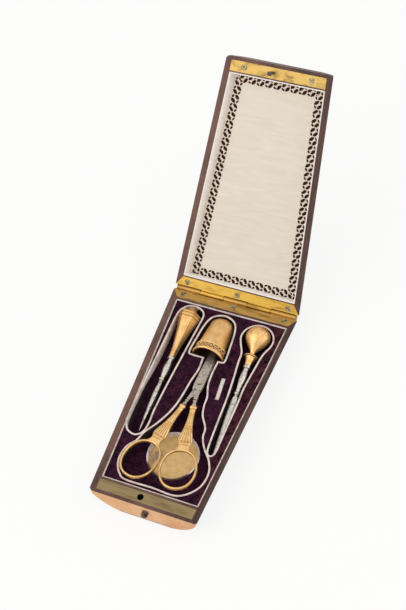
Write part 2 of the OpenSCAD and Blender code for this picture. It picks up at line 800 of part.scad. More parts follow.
// Scissors, drawn flat with the pivot at the origin and the blades along +Y.
// The left half lies under the right half, each on a level of its own.

bolster_start = 9.2;
bolster_l = 4.4;
bolster_level = level_gap / 2 + blade_t / 2;
ring_level = level_gap / 2 + ring_wire / 2;
module on_tray() {
    translate([scissors_x, pivot_y, pivot_z]) rotate([-scissors_slope, 0, 0]) children();
}
module on_shank(side, level) {
    turn = side < 0 ? -left_spread : right_spread;
    rotate([0, 0, turn]) translate([0, 0, side * level]) children();
}

// One blade with its heel, its cutting edge towards the middle line
module blade(side) {
    w = blade_w / 2;
    l = blade_length;
    heel = bolster_start;
    turn = side < 0 ? -left_spread : right_spread;
    neck = turned([0, -heel - 0.6], turn);
    p = [
        [-0.5 * side, l], [-0.5 * side - 0.5, 0.93 * l], [-0.88 * w - 0.2 * side, 0.5 * l], [-w, 0.12 * l],
        [-w, -0.1 * heel], [-0.9 * w, -0.45 * heel], neck + [-0.9, 0.4], neck + [0.9, 0.4],
        [0.9 * w, -0.45 * heel], [w, -0.1 * heel], [w, 0.12 * l], [0.88 * w - 0.2 * side, 0.5 * l],
        [-0.5 * side + 0.5, 0.93 * l]
    ];
    on_tray() difference() {
        union() {
            translate([0, 0, side * bolster_level - blade_t / 2]) linear_extrude(blade_t) polygon(p);
            on_shank(side, bolster_level) rotate([90, 0, 0]) {
                translate([0, 0, heel]) cylinder(h = bolster_l, r = 0.8);
                for (z = [0, 1.3, bolster_l - 1])
                    translate([0, 0, heel + z]) cylinder(h = 0.8, r = bolster_r - 0.1 * z / bolster_l);
            }
        }
        cylinder(h = 4 * blade_t, r = pivot_r + play, center = true);
    }
}

// A shank that flares to two shoulders and joins its ring with fillets, given as pairs of the share of its
// length and its half-width, and the ring as a flat oval band with broken edges
shank_widths = [
    [0, 1.5], [0.1, 1.3], [0.3, 1.5], [0.45, 1.9], [0.58, 2.5], [0.7, 3.2], [0.76, 3.5],
    [0.8, 3.5], [0.86, 2.8], [0.91, 2.6], [0.96, 3.1], [1, 4.2]
];
function shank_half(t) = lookup(t, shank_widths);
module handle(side) {
    start = bolster_start + bolster_l;
    end = ring_reach - ring_inside_l / 2 - ring_wire * 0.4;
    steps = 50;
    t = ring_wire - 0.1;
    right = [for (i = [0 : steps]) [shank_half(i / steps), -start - (end - start) * i / steps]];
    left = [for (i = [steps : -1 : 0]) [-shank_half(i / steps), -start - (end - start) * i / steps]];
    on_tray() on_shank(side, ring_level) {
        translate([0, 0, -t / 2]) linear_extrude(t) polygon(concat(right, left));
        translate([0, -ring_reach, 0]) finger_ring();
    }
}

module oval(d) {
    steps = 72;
    w = ring_inside_w / 2 + d;
    l = ring_inside_l / 2 + d;
    polygon([for (i = [0 : steps - 1]) [w * cos(360 * i / steps), l * sin(360 * i / steps)]]);
}
module finger_ring() {
    edge = 0.25 * ring_wire;
    for (e = [0, edge])
        translate([0, 0, e - ring_wire / 2]) linear_extrude(ring_wire - 2 * e) difference() {
            oval(ring_wire - edge + e);
            oval(edge - e);
        }
}

module left_blade() { color(steel) blade(-1); }
module right_blade() { color(steel) blade(1); }
module left_handle() { color(gilt) handle(-1); }
module right_handle() { color(gilt) handle(1); }
module scissors_pivot() {
    stack = 2 * blade_t + level_gap;
    head_t = 0.3;
    color(steel) on_tray() {
        cylinder(h = stack + 2 * play, r = pivot_r, center = true);
        for (s = [-1, 1]) translate([0, 0, s * (stack / 2 + play + head_t / 2)])
            cylinder(h = head_t, r = pivot_r + 0.35, center = true);
    }
}

// Stiletto and bodkin, drawn along +Z from the head at z = 0 and laid down in the tray

stiletto_tip_r = 0.3;
stiletto_dip = atan((stiletto_axis_z - floor_z - stiletto_tip_r - rest_gap) / (stiletto_l - 6));
module stiletto_place() {
    translate([stiletto_x, stiletto_head_y - 6, rim + stiletto_axis_z]) rotate([90 + stiletto_dip, 0, 0])
        translate([0, 0, -6]) children();
}
module stiletto_handle() {
    r = stiletto_head_d / 2;
    l = stiletto_handle_l;
    neck = stiletto_shaft_r + 0.1;
    hexes = [
        [1.4, 0.52 * r, 2, 0.7 * r], [2, 0.7 * r, 4.2, 0.96 * r], [4.2, r, 5, r],
        [5, 0.93 * r, 6.6, 0.93 * r], [6.6, r, 7.4, r], [7.4, 0.92 * r, 0.45 * l, 0.66 * r],
        [0.45 * l, 0.66 * r, 0.8 * l, 0.36 * r], [0.8 * l, 0.36 * r, l, neck]
    ];
    color(gilt) stiletto_place() {
        cylinder(h = 1.4, r1 = 0.3 * r, r2 = 0.5 * r, $fn = 32);
        for (h = hexes) translate([0, 0, h[0]]) cylinder(h = h[2] - h[0], r1 = h[1], r2 = h[3], $fn = 6);
    }
}
module stiletto_shaft() {
    r = stiletto_shaft_r;
    l = stiletto_l;
    s = stiletto_handle_l;
    turned_parts = [
        [0, r + 0.2, 1.2, r + 0.2], [1.2, r - 0.3, 2.4, r - 0.3], [2.4, r - 0.2, 7, r + 0.3],
        [7, r + 0.3, 12.4, r - 0.4], [12.4, r, 13.4, r], [13.4, r - 0.3, 15, r - 0.1],
        [15, r - 0.1, l - s, stiletto_tip_r]
    ];
    color(steel) stiletto_place() translate([0, 0, s])
        for (c = turned_parts) translate([0, 0, c[0]]) cylinder(h = c[2] - c[0], r1 = c[1], r2 = c[3]);
}

bodkin_blade_t = 1.4;
bodkin_fall = bodkin_axis_z - floor_z - bodkin_blade_t / 2 - rest_gap;
bodkin_dip = atan(bodkin_fall / (bodkin_l - bodkin_ball_d / 2));
module bodkin_place() {
    translate([bodkin_x, bodkin_head_y, 0]) rotate([0, 0, bodkin_turn])
        translate([0, -bodkin_ball_d / 2, rim + bodkin_axis_z]) rotate([90 + bodkin_dip, 0, 0])
            translate([0, 0, -bodkin_ball_d / 2]) children();
}
module bodkin_handle() {
    r = bodkin_ball_d / 2;
    l = bodkin_handle_l;
    neck = 1.15;
    collar = 3.4;
    cup = 2.4;
    ferrule = 1.6;
    waist = 0.7 * l;
    lean = 8;
    color(gilt) bodkin_place() {
        translate([0, 0, r]) sphere(r = r);
        translate([0, 0, r + r * sin(lean)])
            cylinder(h = waist - r - r * sin(lean), r1 = r * cos(lean), r2 = neck);
        translate([0, 0, waist - 0.2]) cylinder(h = 1.4, r1 = neck, r2 = collar);
        translate([0, 0, waist + 1.2]) cylinder(h = 0.4, r = collar);
        translate([0, 0, waist + 1.6]) cylinder(h = l - waist - 1.6, r1 = cup, r2 = ferrule);
    }
}
module bodkin_shaft() {
    s = bodkin_handle_l;
    l = bodkin_shaft_l;
    blade_start = 17.4;
    w = bodkin_blade_w / 2;
    turned_parts = [
        [0, 1.5, 0.8, 1.5], [0.8, 1.8, 1.8, 1.8], [1.8, 1.3, 8, 1.8], [8, 1.8, 15.4, 1.2],
        [15.4, 1.6, 16.4, 1.6], [16.4, 1.2, blade_start + 0.4, 1]
    ];
    color(steel) bodkin_place() translate([0, 0, s]) {
        for (c = turned_parts) translate([0, 0, c[0]]) cylinder(h = c[2] - c[0], r1 = c[1], r2 = c[3]);
        rotate([90, 0, 0]) translate([0, 0, -bodkin_blade_t / 2]) linear_extrude(bodkin_blade_t)
            polygon([
                [-w * 0.8, blade_start], [w * 0.8, blade_start], [w, blade_start + 4],
                [0.5, l], [-0.5, l], [-w, blade_start + 4]
            ]);
    }
}

base_shell();
front_veneer();
lock_plate();
latch_spring();
push_button();
base_hinge_leaf();
base_leaf_screws();
hinge_pin();
tray_board();
card_edging();
recess_floor();
thimble_bed();
scissors_rest();
well_wall();
well_floor();
slot_card();
lid_shell();
lid_veneer();
lid_hinge_leaf();
lid_leaf_screws();
lid_plate();
lid_plate_screws();
lid_catch();
lid_lining();
silk_panel();
thimble();
left_blade();
left_handle();
right_blade();
right_handle();
scissors_pivot();
stiletto_handle();
stiletto_shaft();
bodkin_handle();
bodkin_shaft();
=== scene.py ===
# %% [markdown]
# # Dressing a sewing etui
#
# The etui is a small tapered wooden case with a velvet tray. Its solids come from a CAD model and are
# loaded as they are. This lesson gives each of them the finish of the real thing, and swaps the gilt and
# steel tools for finer surfaces that are worked out with numpy. Sizes on the object are written in
# millimetres and turned into Blender's metres at the last moment. The studio around it is in metres.

# %% Load the solids
import math

import bmesh
import bpy
import numpy as np
from mathutils import Matrix, Vector


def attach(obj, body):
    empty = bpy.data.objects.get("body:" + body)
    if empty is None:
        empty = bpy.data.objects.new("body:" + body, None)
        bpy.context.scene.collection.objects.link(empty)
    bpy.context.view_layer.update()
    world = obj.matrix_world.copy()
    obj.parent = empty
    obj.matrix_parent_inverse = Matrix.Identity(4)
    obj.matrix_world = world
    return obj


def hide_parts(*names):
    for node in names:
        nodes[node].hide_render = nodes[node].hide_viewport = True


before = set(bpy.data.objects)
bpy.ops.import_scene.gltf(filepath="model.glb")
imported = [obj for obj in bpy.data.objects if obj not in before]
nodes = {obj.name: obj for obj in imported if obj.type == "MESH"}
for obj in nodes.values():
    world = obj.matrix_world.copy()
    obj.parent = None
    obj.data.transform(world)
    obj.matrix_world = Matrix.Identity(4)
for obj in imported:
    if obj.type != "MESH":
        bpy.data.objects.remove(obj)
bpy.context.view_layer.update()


# %% [markdown]
# ## Tools for materials
#
# Colours are written as they look on a screen, as sRGB hex values. Blender calculates with linear light,
# so one function converts them. Two more add a shader node and fill its inputs, so that each material below
# reads like a recipe. The last two start an empty material and lay another colour over a finished one.

# %% Colour and node helpers
def paint(code):
    """Linear red, green, blue and alpha of an sRGB hex code such as 'c9a55a'."""
    srgb = np.array([int(code[i:i + 2], 16) for i in (0, 2, 4)]) / 255
    linear = np.where(srgb <= 0.04045, srgb / 12.92, ((srgb + 0.055) / 1.055) ** 2.4)
    return (*linear.tolist(), 1.0)


def fill(tree, node, inputs):
    """Fills inputs of a node: sockets are linked, other values are set.

    A node that is given as a value stands for its first output that is in use.
    """
    for key, value in inputs.items():
        if isinstance(value, bpy.types.Node):
            value = next(socket for socket in value.outputs if socket.enabled)
        if isinstance(value, bpy.types.NodeSocket):
            tree.links.new(value, node.inputs[key])
        else:
            node.inputs[key].default_value = value


def add(tree, kind, inputs=None, **settings):
    """Adds one shader node, sets its options and fills its inputs."""
    node = tree.nodes.new("ShaderNode" + kind)
    for key, value in settings.items():
        setattr(node, key, value)
    fill(tree, node, inputs or {})
    return node


def new_finish(name):
    """An empty material: its node tree and its one shader, already joined to the output."""
    material = bpy.data.materials.new(name)
    material.use_nodes = True
    tree = material.node_tree
    tree.nodes.clear()
    shader = add(tree, "BsdfPrincipled")
    add(tree, "OutputMaterial", {"Surface": shader.outputs["BSDF"]})
    return material, tree, shader


def overlay(material, mask, code):
    """Lays another colour over a material's own one, as far as the mask goes from 0 to 1."""
    tree = material.node_tree
    shader = tree.nodes["Principled BSDF"]
    own = shader.inputs["Base Color"].links[0].from_socket
    mixed = add(tree, "Mix", {0: mask, 6: own, 7: paint(code)}, data_type="RGBA")
    fill(tree, shader, {"Base Color": mixed})


print("a mid grey of 808080 is", round(paint("808080")[0], 3), "in linear light")

# %% [markdown]
# ## The camera
#
# A camera is described by where it stands, which way it looks, how far it is rolled, and how long its lens
# is. These numbers were found by matching the corners of the case and its lid with a picture of the
# object. The lens is given for an upright image of 406 by 610 pixels.

# %% Place the camera
AZIMUTH, ELEVATION, ROLL = math.radians(31.022), math.radians(54.623), math.radians(11.0)
FOCAL_PIXELS, IMAGE_HEIGHT, SENSOR = 1212.9, 610, 36
CAMERA_PLACE = Vector((0.1655, -0.2476, 0.5070))

backwards = Vector((
    math.sin(AZIMUTH) * math.cos(ELEVATION), -math.cos(AZIMUTH) * math.cos(ELEVATION), math.sin(ELEVATION),
))
level_right = Vector((0, 0, 1)).cross(backwards).normalized()
level_up = backwards.cross(level_right)
right = math.cos(ROLL) * level_right - math.sin(ROLL) * level_up
up = math.sin(ROLL) * level_right + math.cos(ROLL) * level_up
lens = bpy.data.cameras.new("camera")
lens.sensor_fit = "VERTICAL"
lens.sensor_height = SENSOR
lens.lens = SENSOR * FOCAL_PIXELS / IMAGE_HEIGHT
lens.clip_start = 0.01
camera = bpy.data.objects.new("camera", lens)
bpy.context.scene.collection.objects.link(camera)
turn = Matrix((right, up, backwards)).transposed()
camera.matrix_world = Matrix.Translation(CAMERA_PLACE) @ turn.to_4x4()
bpy.context.scene.camera = camera
print("lens in mm:", round(lens.lens, 2))

# %% [markdown]
# ## The studio
#
# The object stands on a pale floor under a white world. A floor that is lit by lamps alone is never quite
# white, so what the camera and reflections see of it is mostly a white glow, and only a small share is
# the lit surface, which keeps a faint shadow.

# %% The floor
FLOOR, FLOOR_DROP, FLOOR_GLOW = 8.0, 0.0002, 0.84
scene = bpy.context.scene
scene.view_settings.view_transform = "Standard"

floor_finish, tree, shader = new_finish("matt_white_paper_floor")
path = add(tree, "LightPath")
seen = add(tree, "Math", {
    0: path.outputs["Is Camera Ray"], 1: path.outputs["Is Glossy Ray"],
}, operation="MAXIMUM")
seen = add(tree, "Math", {0: seen, 1: path.outputs["Is Transmission Ray"]}, operation="MAXIMUM")
glow_share = add(tree, "Math", {0: seen, 1: FLOOR_GLOW}, operation="MULTIPLY")
fill(tree, shader, {"Base Color": paint("f4f2ef"), "Roughness": 0.9})
glow = add(tree, "Emission", {"Color": (1, 1, 1, 1), "Strength": 1.0})
both = add(tree, "MixShader", {0: glow_share, 1: shader.outputs["BSDF"], 2: glow})
fill(tree, tree.nodes["Material Output"], {"Surface": both})

floor_mesh = bpy.data.meshes.new("floor")
floor_mesh.from_pydata(
    [(-FLOOR, -FLOOR, 0), (FLOOR, -FLOOR, 0), (FLOOR, FLOOR, 0), (-FLOOR, FLOOR, 0)], [], [(0, 1, 2, 3)],
)
floor = bpy.data.objects.new("floor", floor_mesh)
floor_mesh.materials.append(floor_finish)
scene.collection.objects.link(floor)
floor.location.z = -FLOOR_DROP
print("the floor is", 2 * FLOOR, "m wide")

# %% [markdown]
# The world is white to the camera and in reflections, and a little weaker as a light. A large lamp from
# the front left gives shape, and one from the right fills the shadows.

# %% World and lamps
SKY_LIGHT = 0.72
world = bpy.data.worlds.new("white_room")
world.use_nodes = True
tree = world.node_tree
tree.nodes.clear()
path = add(tree, "LightPath")
seen = add(tree, "Math", {
    0: path.outputs["Is Camera Ray"], 1: path.outputs["Is Glossy Ray"],
}, operation="MAXIMUM")
strength = add(tree, "MapRange", {"Value": seen, "To Min": SKY_LIGHT, "To Max": 1.0})
sky = add(tree, "Background", {"Color": (1, 1, 1, 1), "Strength": strength})
add(tree, "OutputWorld", {"Surface": sky})
scene.world = world


def soft_lamp(name, place, aim, size, power):
    """A square lamp that stands at one point in metres and faces another."""
    data = bpy.data.lights.new(name, "AREA")
    data.size = size
    data.energy = power
    lamp = bpy.data.objects.new(name, data)
    lamp.location = place
    lamp.rotation_euler = (Vector(aim) - Vector(place)).to_track_quat("-Z", "Y").to_euler()
    scene.collection.objects.link(lamp)


MIDDLE = (0, 0.03, 0.03)
soft_lamp("key_front_left", (-0.55, -0.55, 0.85), MIDDLE, 1.1, 4.6)
soft_lamp("fill_right", (0.8, 0.1, 0.5), MIDDLE, 1.2, 2.8)
print("studio has a floor, a world and", len(bpy.data.lights), "lamps")

# %% [markdown]
# ## Rosewood
#
# The case is a dark rosewood that has faded to a greyish brown in patches. It is also painted lighter towards
# the left, as painted light where the light falls on the left side. Its grain runs along the case in streaks
# about a millimetre wide and two centimetres long, with fine open pores. A noise texture that is squeezed
# across and stretched along gives both. The lid stands open, so its grain is turned with it. The pale front
# end is satinwood, made the same way.

# %% Wood finishes
LID_ANGLE = math.radians(132)
LEFT_PAINTED_LIGHT = 0.006


def wood_finish(name, tilt, dark, middle, light, gloss):
    """Streaks 1.1 x 22 mm, pores 0.3 x 4 mm, faded patches of 17 mm, and painted light towards the left."""
    material, tree, shader = new_finish(name)
    place = add(tree, "TexCoord").outputs["Object"]
    flat = add(tree, "Mapping", {"Vector": place, "Rotation": (tilt, 0, 0)})
    along = add(tree, "Mapping", {"Vector": flat, "Scale": (1000 / 1.1, 1000 / 22, 1000 / 1.1)})
    streak = add(tree, "TexNoise", {"Vector": along, "Scale": 1.0, "Detail": 5.0, "Distortion": 0.6})
    fine = add(tree, "Mapping", {"Vector": flat, "Scale": (1000 / 0.3, 1000 / 4, 1000 / 0.3)})
    pore = add(tree, "TexNoise", {"Vector": fine, "Scale": 1.0, "Detail": 3.0})
    patch = add(tree, "TexNoise", {"Vector": place, "Scale": 1000 / 17, "Detail": 3.0})
    depth = add(tree, "MapRange", {"Value": streak, "From Min": 0.36, "From Max": 0.62})
    sides = add(tree, "SeparateXYZ", {0: place})
    # Painted light: on top of the faded patches, the wood turns lighter towards the left, where the light
    # falls.
    fade_and_left_light = add(tree, "Math", {0: sides.outputs["X"], 1: -1000 * LEFT_PAINTED_LIGHT, 2: patch}, operation="MULTIPLY_ADD")
    fade_and_left_light = add(tree, "MapRange", {"Value": fade_and_left_light, "From Min": 0.38, "From Max": 0.7})
    holes = add(tree, "MapRange", {"Value": pore, "From Min": 0.56, "From Max": 0.7, "To Max": 0.75})
    base = add(tree, "Mix", {0: depth, 6: paint(dark), 7: paint(middle)}, data_type="RGBA")
    worn = add(tree, "Mix", {0: fade_and_left_light, 6: base, 7: paint(light)}, data_type="RGBA")
    grain = add(tree, "Mix", {0: holes, 6: worn, 7: paint(dark)}, data_type="RGBA")
    rough = add(tree, "MapRange", {"Value": pore, "To Min": gloss - 0.08, "To Max": gloss + 0.14})
    bump = add(tree, "Bump", {"Height": pore, "Strength": 0.25, "Distance": 0.00008})
    fill(tree, shader, {"Base Color": grain, "Roughness": rough, "Normal": bump, "Specular IOR Level": 0.35})
    return material


def dress(material, *names):
    """Gives one finish to some of the loaded solids."""
    for name in names:
        nodes[name].data.materials.clear()
        nodes[name].data.materials.append(material)
    print(material.name, "on", ", ".join(names))


base_finish = wood_finish("oiled_rosewood_base", 0, "34211b", "563a32", "6d4e42", 0.5)
dress(base_finish, "base_shell")
lid_finish = wood_finish("oiled_rosewood_lid", LID_ANGLE, "38211b", "583a31", "6f4e41", 0.5)
dress(lid_finish, "lid_shell", "lid_veneer")
dress(wood_finish("polished_satinwood_front", 0, "cf8f58", "dda46c", "e8b482", 0.42), "front_veneer")

# %% [markdown]
# Inside, where a little of the shell shows beside the card, it is stained as dark as the velvet. The
# material finds the inside by its distance from the tapering sides of the case, between two heights.

# %% Dark inside of the base
REAR_Y, FRONT_HALF, WIDENING = 58.3787, 26.6838, 0.0535571
FRONT_Y = -REAR_Y
RIM = 13.75
STAIN_START, STAIN_BOTTOM, STAIN_TOP = 2.7, 3.0, RIM - 1.5


def half_width(y):
    """Half of the case's width in mm at a distance y from its middle."""
    return FRONT_HALF + WIDENING * (y - FRONT_Y)


def between_sides(tree, place, half, start):
    """The axes of a map, and a mask that is 1 from start mm inwards of both tapering sides.

    The half-width is given where the map's Y is 0.
    """
    axes = add(tree, "SeparateXYZ", {0: place})
    wide = add(tree, "Math", {0: axes.outputs["X"]}, operation="ABSOLUTE")
    wide = add(tree, "Math", {0: axes.outputs["Y"], 1: -WIDENING, 2: wide}, operation="MULTIPLY_ADD")
    return axes, add(tree, "Math", {0: wide, 1: (half - start) / 1000}, operation="LESS_THAN")


tree = base_finish.node_tree
axes, inner = between_sides(tree, add(tree, "TexCoord").outputs["Object"], half_width(0), STAIN_START)
over = add(tree, "Math", {0: axes.outputs["Z"], 1: STAIN_BOTTOM / 1000}, operation="GREATER_THAN")
under = add(tree, "Math", {0: axes.outputs["Z"], 1: STAIN_TOP / 1000}, operation="LESS_THAN")
for limit in (over, under):
    inner = add(tree, "Math", {0: inner, 1: limit}, operation="MULTIPLY")
overlay(base_finish, inner, "180a10")
print("inside starts", STAIN_START, "mm from the side")

# %% [markdown]
# In the lid, the paper of the walls runs on down to the silk behind its stiff lining. So the wood carries
# the paper's colour there. The material turns its coordinates back with the lid and finds the inside in
# the same way, between two depths and clear of both ends.

# %% Papered inside of the lid
PIN_OUT, PIN_RISE = 0.8, 0.15
AXIS_Y, AXIS_Z = REAR_Y + PIN_OUT, RIM + PIN_RISE
LID_RIM = AXIS_Z + PIN_RISE
PAPER_START, PAPER_MIDDLE, PAPER_DEEP, PAPER_LONG = 3.4, 3.4, 2.9, 52.0
RIM_TURNED = math.sin(LID_ANGLE) * AXIS_Y + math.cos(LID_ANGLE) * AXIS_Z - AXIS_Z + LID_RIM
Y_SHIFT = AXIS_Y - math.cos(LID_ANGLE) * AXIS_Y + math.sin(LID_ANGLE) * AXIS_Z
tree = lid_finish.node_tree
place = add(tree, "TexCoord").outputs["Object"]
turned = add(tree, "Mapping", {"Vector": place, "Rotation": (LID_ANGLE, 0, 0)})
axes, inner = between_sides(tree, turned, half_width(Y_SHIFT), PAPER_START)
height = (RIM_TURNED + PAPER_MIDDLE) / 1000
deep = add(tree, "Math", {0: axes.outputs["Z"], 1: height, 2: PAPER_DEEP / 1000}, operation="COMPARE")
long = add(tree, "Math", {0: axes.outputs["Y"], 1: -Y_SHIFT / 1000, 2: PAPER_LONG / 1000}, operation="COMPARE")
for limit in (deep, long):
    inner = add(tree, "Math", {0: inner, 1: limit}, operation="MULTIPLY")
overlay(lid_finish, inner, "eadfd2")
print("paper starts", PAPER_START, "mm from the side")

# %% [markdown]
# ## Brass and steel
#
# The hinge leaf and the plate in the lid are bright rolled brass with brown tarnish in patches. The leaf on
# the base is more worn, and the lock plate has dulled to olive. Metal takes its colour from its
# reflections, so the base colour is the colour of the metal itself. Stains and fine scratches run along
# the rolling direction.

# %% Metal finishes
def metal_finish(name, clean, stained, amount, patch_mm, rough_low, rough_high, scratch=(6, 0.12, 0.12)):
    """A metal with stains of patch_mm in x, y and z over about the given share, and scratches sized in mm."""
    material, tree, shader = new_finish(name)
    place = add(tree, "TexCoord").outputs["Object"]
    sized = add(tree, "Mapping", {"Vector": place, "Scale": tuple(1000 / s for s in patch_mm)})
    patch = add(tree, "TexNoise", {"Vector": sized, "Scale": 1.0, "Detail": 6.0, "Roughness": 0.65})
    long = add(tree, "Mapping", {"Vector": place, "Scale": tuple(1000 / s for s in scratch)})
    line = add(tree, "TexNoise", {"Vector": long, "Scale": 1.0, "Detail": 2.0})
    stain = add(tree, "MapRange", {
        "Value": patch, "From Min": 0.62 - 0.3 * amount, "From Max": 0.74 - 0.2 * amount,
    })
    colour = add(tree, "Mix", {0: stain, 6: paint(clean), 7: paint(stained)}, data_type="RGBA")
    rough = add(tree, "MapRange", {"Value": patch, "To Min": rough_low, "To Max": rough_high})
    bump = add(tree, "Bump", {"Height": line, "Strength": 0.18, "Distance": 0.00005})
    fill(tree, shader, {"Base Color": colour, "Roughness": rough, "Normal": bump, "Metallic": 1.0})
    return material


dress(
    metal_finish("bright_rolled_brass", "c59d48", "9a7836", 0.45, (13, 3, 3), 0.26, 0.44),
    "lid_hinge_leaf", "hinge_pin",
)
dress(metal_finish("rubbed_plate_brass", "bb9b58", "8d7040", 0.45, (6, 4, 4), 0.3, 0.5), "lid_plate")
dress(
    metal_finish("dulled_brass", "93805c", "7d6a4a", 0.4, (16, 2, 4), 0.4, 0.6, (9, 0.25, 0.25)),
    "lock_plate",
)
dress(metal_finish("worn_leaf_brass", "bb914e", "94703a", 0.5, (11, 2.2, 2.2), 0.32, 0.52), "base_hinge_leaf")
dress(
    metal_finish("screw_brass", "a3946f", "5a4b30", 0.5, (1.2, 1.2, 1.2), 0.3, 0.5),
    "lid_leaf_screws", "lid_plate_screws", "base_leaf_screws",
)
dress(
    metal_finish("dark_lock_steel", "6d645c", "37322e", 0.6, (1.5, 1.5, 1.5), 0.35, 0.6),
    "push_button", "latch_spring", "lid_catch",
)

# %% [markdown]
# The tools' steel has small dark rust pits, which a cell texture places at random. The finer tools below
# carry a groove attribute, and the same dark colour fills their lines.

# %% Tool steel
def pitted_steel(name, clean, stained):
    """Steel with rust pits about 2 mm apart, and dark lines where the groove attribute is set."""
    material = metal_finish(name, clean, stained, 0.35, (1.6, 1.6, 1.6), 0.3, 0.5, (0.3, 0.3, 0.3))
    tree = material.node_tree
    place = add(tree, "TexCoord").outputs["Object"]
    cells = add(tree, "TexVoronoi", {"Vector": place, "Scale": 1000 / 2.2, "Randomness": 1.0})
    pit = add(tree, "MapRange", {
        "Value": cells.outputs["Distance"], "From Min": 0.2, "From Max": 0.1, "To Max": 0.8,
    })
    line = add(tree, "Attribute", attribute_name="groove").outputs["Fac"]
    dark = add(tree, "Math", {0: pit, 1: line}, operation="MAXIMUM", use_clamp=True)
    overlay(material, dark, "3a322c")
    return material


steel_finish = pitted_steel("pitted_scissor_steel", "b5a99d", "655b52")
shaft_finish = pitted_steel("rubbed_shaft_steel", "d2cbc0", "8f867b")
dress(steel_finish, "scissors_pivot")

# %% [markdown]
# ## Velvet
#
# The tray is covered with dark purple silk velvet. Velvet looks dark where the pile points at the eye and
# lighter where it was crushed or rubbed. Sheen gives the light edge of the pile, two noises the crushed
# marks, and a gradient towards the right wall the strip that has gone brown with wear.

# %% Velvet finish
RUB_FROM, RUB_FULL = 19.5, 26.5
velvet_finish, tree, shader = new_finish("crushed_silk_velvet")
place = add(tree, "TexCoord").outputs["Object"]
crush = add(tree, "TexNoise", {
    "Vector": place, "Scale": 1000 / 3.5, "Detail": 5.0, "Roughness": 0.7, "Distortion": 0.8,
})
pile = add(tree, "TexNoise", {"Vector": place, "Scale": 1000 / 0.7, "Detail": 3.0})
mixed = add(tree, "Mix", {0: 0.35, 2: crush, 3: pile})
marks = add(tree, "MapRange", {"Value": mixed, "From Min": 0.42, "From Max": 0.63})
axes = add(tree, "SeparateXYZ", {0: place})
side = add(tree, "MapRange", {
    "Value": axes.outputs["X"], "From Min": RUB_FROM / 1000, "From Max": RUB_FULL / 1000,
})
rubbed = add(tree, "Math", {0: side, 1: marks}, operation="MULTIPLY")
deep = add(tree, "Mix", {0: marks, 6: paint("14060e"), 7: paint("451b35")}, data_type="RGBA")
worn = add(tree, "Mix", {0: rubbed, 6: deep, 7: paint("562b28")}, data_type="RGBA")
bump = add(tree, "Bump", {"Height": pile, "Strength": 0.5, "Distance": 0.0002})
fill(tree, shader, {
    "Base Color": worn, "Normal": bump, "Roughness": 0.95, "Specular IOR Level": 0.1,
    "Sheen Weight": 0.08, "Sheen Roughness": 0.4, "Sheen Tint": paint("8a6080"),
})
dress(velvet_finish, "tray_board", "recess_floor", "thimble_bed", "scissors_rest")

# %% [markdown]
# ## Card and paper
#
# White card lines the recesses, and its cut edge shows as a white line. It has yellowed a little, its
# fibres are rough, and soil lies on it in patches. The paper on the walls of the lid is like it but cleaner.

# %% Card finish
def card_finish(name, clean, soiled, share):
    """Card with soiled patches of 3 mm and fibres of 0.2 mm, its node tree and its coordinates."""
    material, tree, shader = new_finish(name)
    place = add(tree, "TexCoord").outputs["Object"]
    patch = add(tree, "TexNoise", {"Vector": place, "Scale": 1000 / 3, "Detail": 5.0})
    fibre = add(tree, "TexNoise", {"Vector": place, "Scale": 1000 / 0.2, "Detail": 3.0})
    soil = add(tree, "MapRange", {"Value": patch, "From Min": 0.45, "From Max": 0.8, "To Max": share})
    colour = add(tree, "Mix", {0: soil, 6: paint(clean), 7: paint(soiled)}, data_type="RGBA")
    bump = add(tree, "Bump", {"Height": fibre, "Strength": 0.3, "Distance": 0.0001})
    fill(tree, shader, {"Base Color": colour, "Normal": bump, "Roughness": 0.85})
    return material, tree, place


dress(card_finish("cut_white_card", "efe4da", "c3ad9f", 0.8)[0], "slot_card")
dress(card_finish("cream_lining_paper", "fcf6ef", "ece1d4", 0.6)[0], "lid_lining")

# %% [markdown]
# The wall of the finger well has lost its white face in spots, and all of it towards the front. The bottom
# of the well is a cream paper with a grey rubbed spot. Such a mark ends at a distance in mm, and a noise
# moves its edge to and fro.

# %% Finger well
TEAR_GRAIN, TEAR_WAVE, TEAR = 2.5, -6.0, (-35.5, -37.5)
SPOT, SPOT_GRAIN, SPOT_WAVE, SPOT_EDGE = (-6.2, -28.5, 3.5), 2.0, 6.0, (7.2, 4.8)


def ragged_edge(tree, place, grain, wave, distance, limits, share=1.0, detail=4.0, rough=0.5):
    """A noise of grain mm, and a mask that rises between two limits of distance + wave * noise."""
    noise = add(tree, "TexNoise", {
        "Vector": place, "Scale": 1000 / grain, "Detail": detail, "Roughness": rough,
    })
    moved = add(tree, "Math", {0: noise, 1: wave / 1000, 2: distance}, operation="MULTIPLY_ADD")
    mask = add(tree, "MapRange", {
        "Value": moved, "From Min": limits[0] / 1000, "From Max": limits[1] / 1000, "To Max": share,
    })
    return noise, mask


torn_finish, tree, place = card_finish("torn_well_card", "efe4da", "b59c8c", 0.9)
along = add(tree, "SeparateXYZ", {0: place}).outputs["Y"]
noise, front = ragged_edge(tree, place, TEAR_GRAIN, TEAR_WAVE, along, TEAR, 0.95, 5.0, 0.7)
lint = add(tree, "MapRange", {"Value": noise, "From Min": 0.52, "From Max": 0.68, "To Max": 0.8})
lost = add(tree, "Math", {0: lint, 1: front}, operation="MAXIMUM")
overlay(torn_finish, lost, "3a2226")
dress(torn_finish, "well_wall")

well_finish, tree, place = card_finish("cream_well_paper", "f0cb8c", "cfa266", 0.8)
apart = add(tree, "VectorMath", {0: place, 1: tuple(v / 1000 for v in SPOT)}, operation="DISTANCE")
grey = ragged_edge(tree, place, SPOT_GRAIN, SPOT_WAVE, apart, SPOT_EDGE, 0.85)[1]
overlay(well_finish, grey, "8f8478")
dress(well_finish, "well_floor")

# %% [markdown]
# On the walls of the recesses velvet is glued over the card, so only its upper edge is white. On the left
# wall, beside the stiletto, the velvet starts lower, most of all towards the back. The material compares
# its height with the top of the velvet.

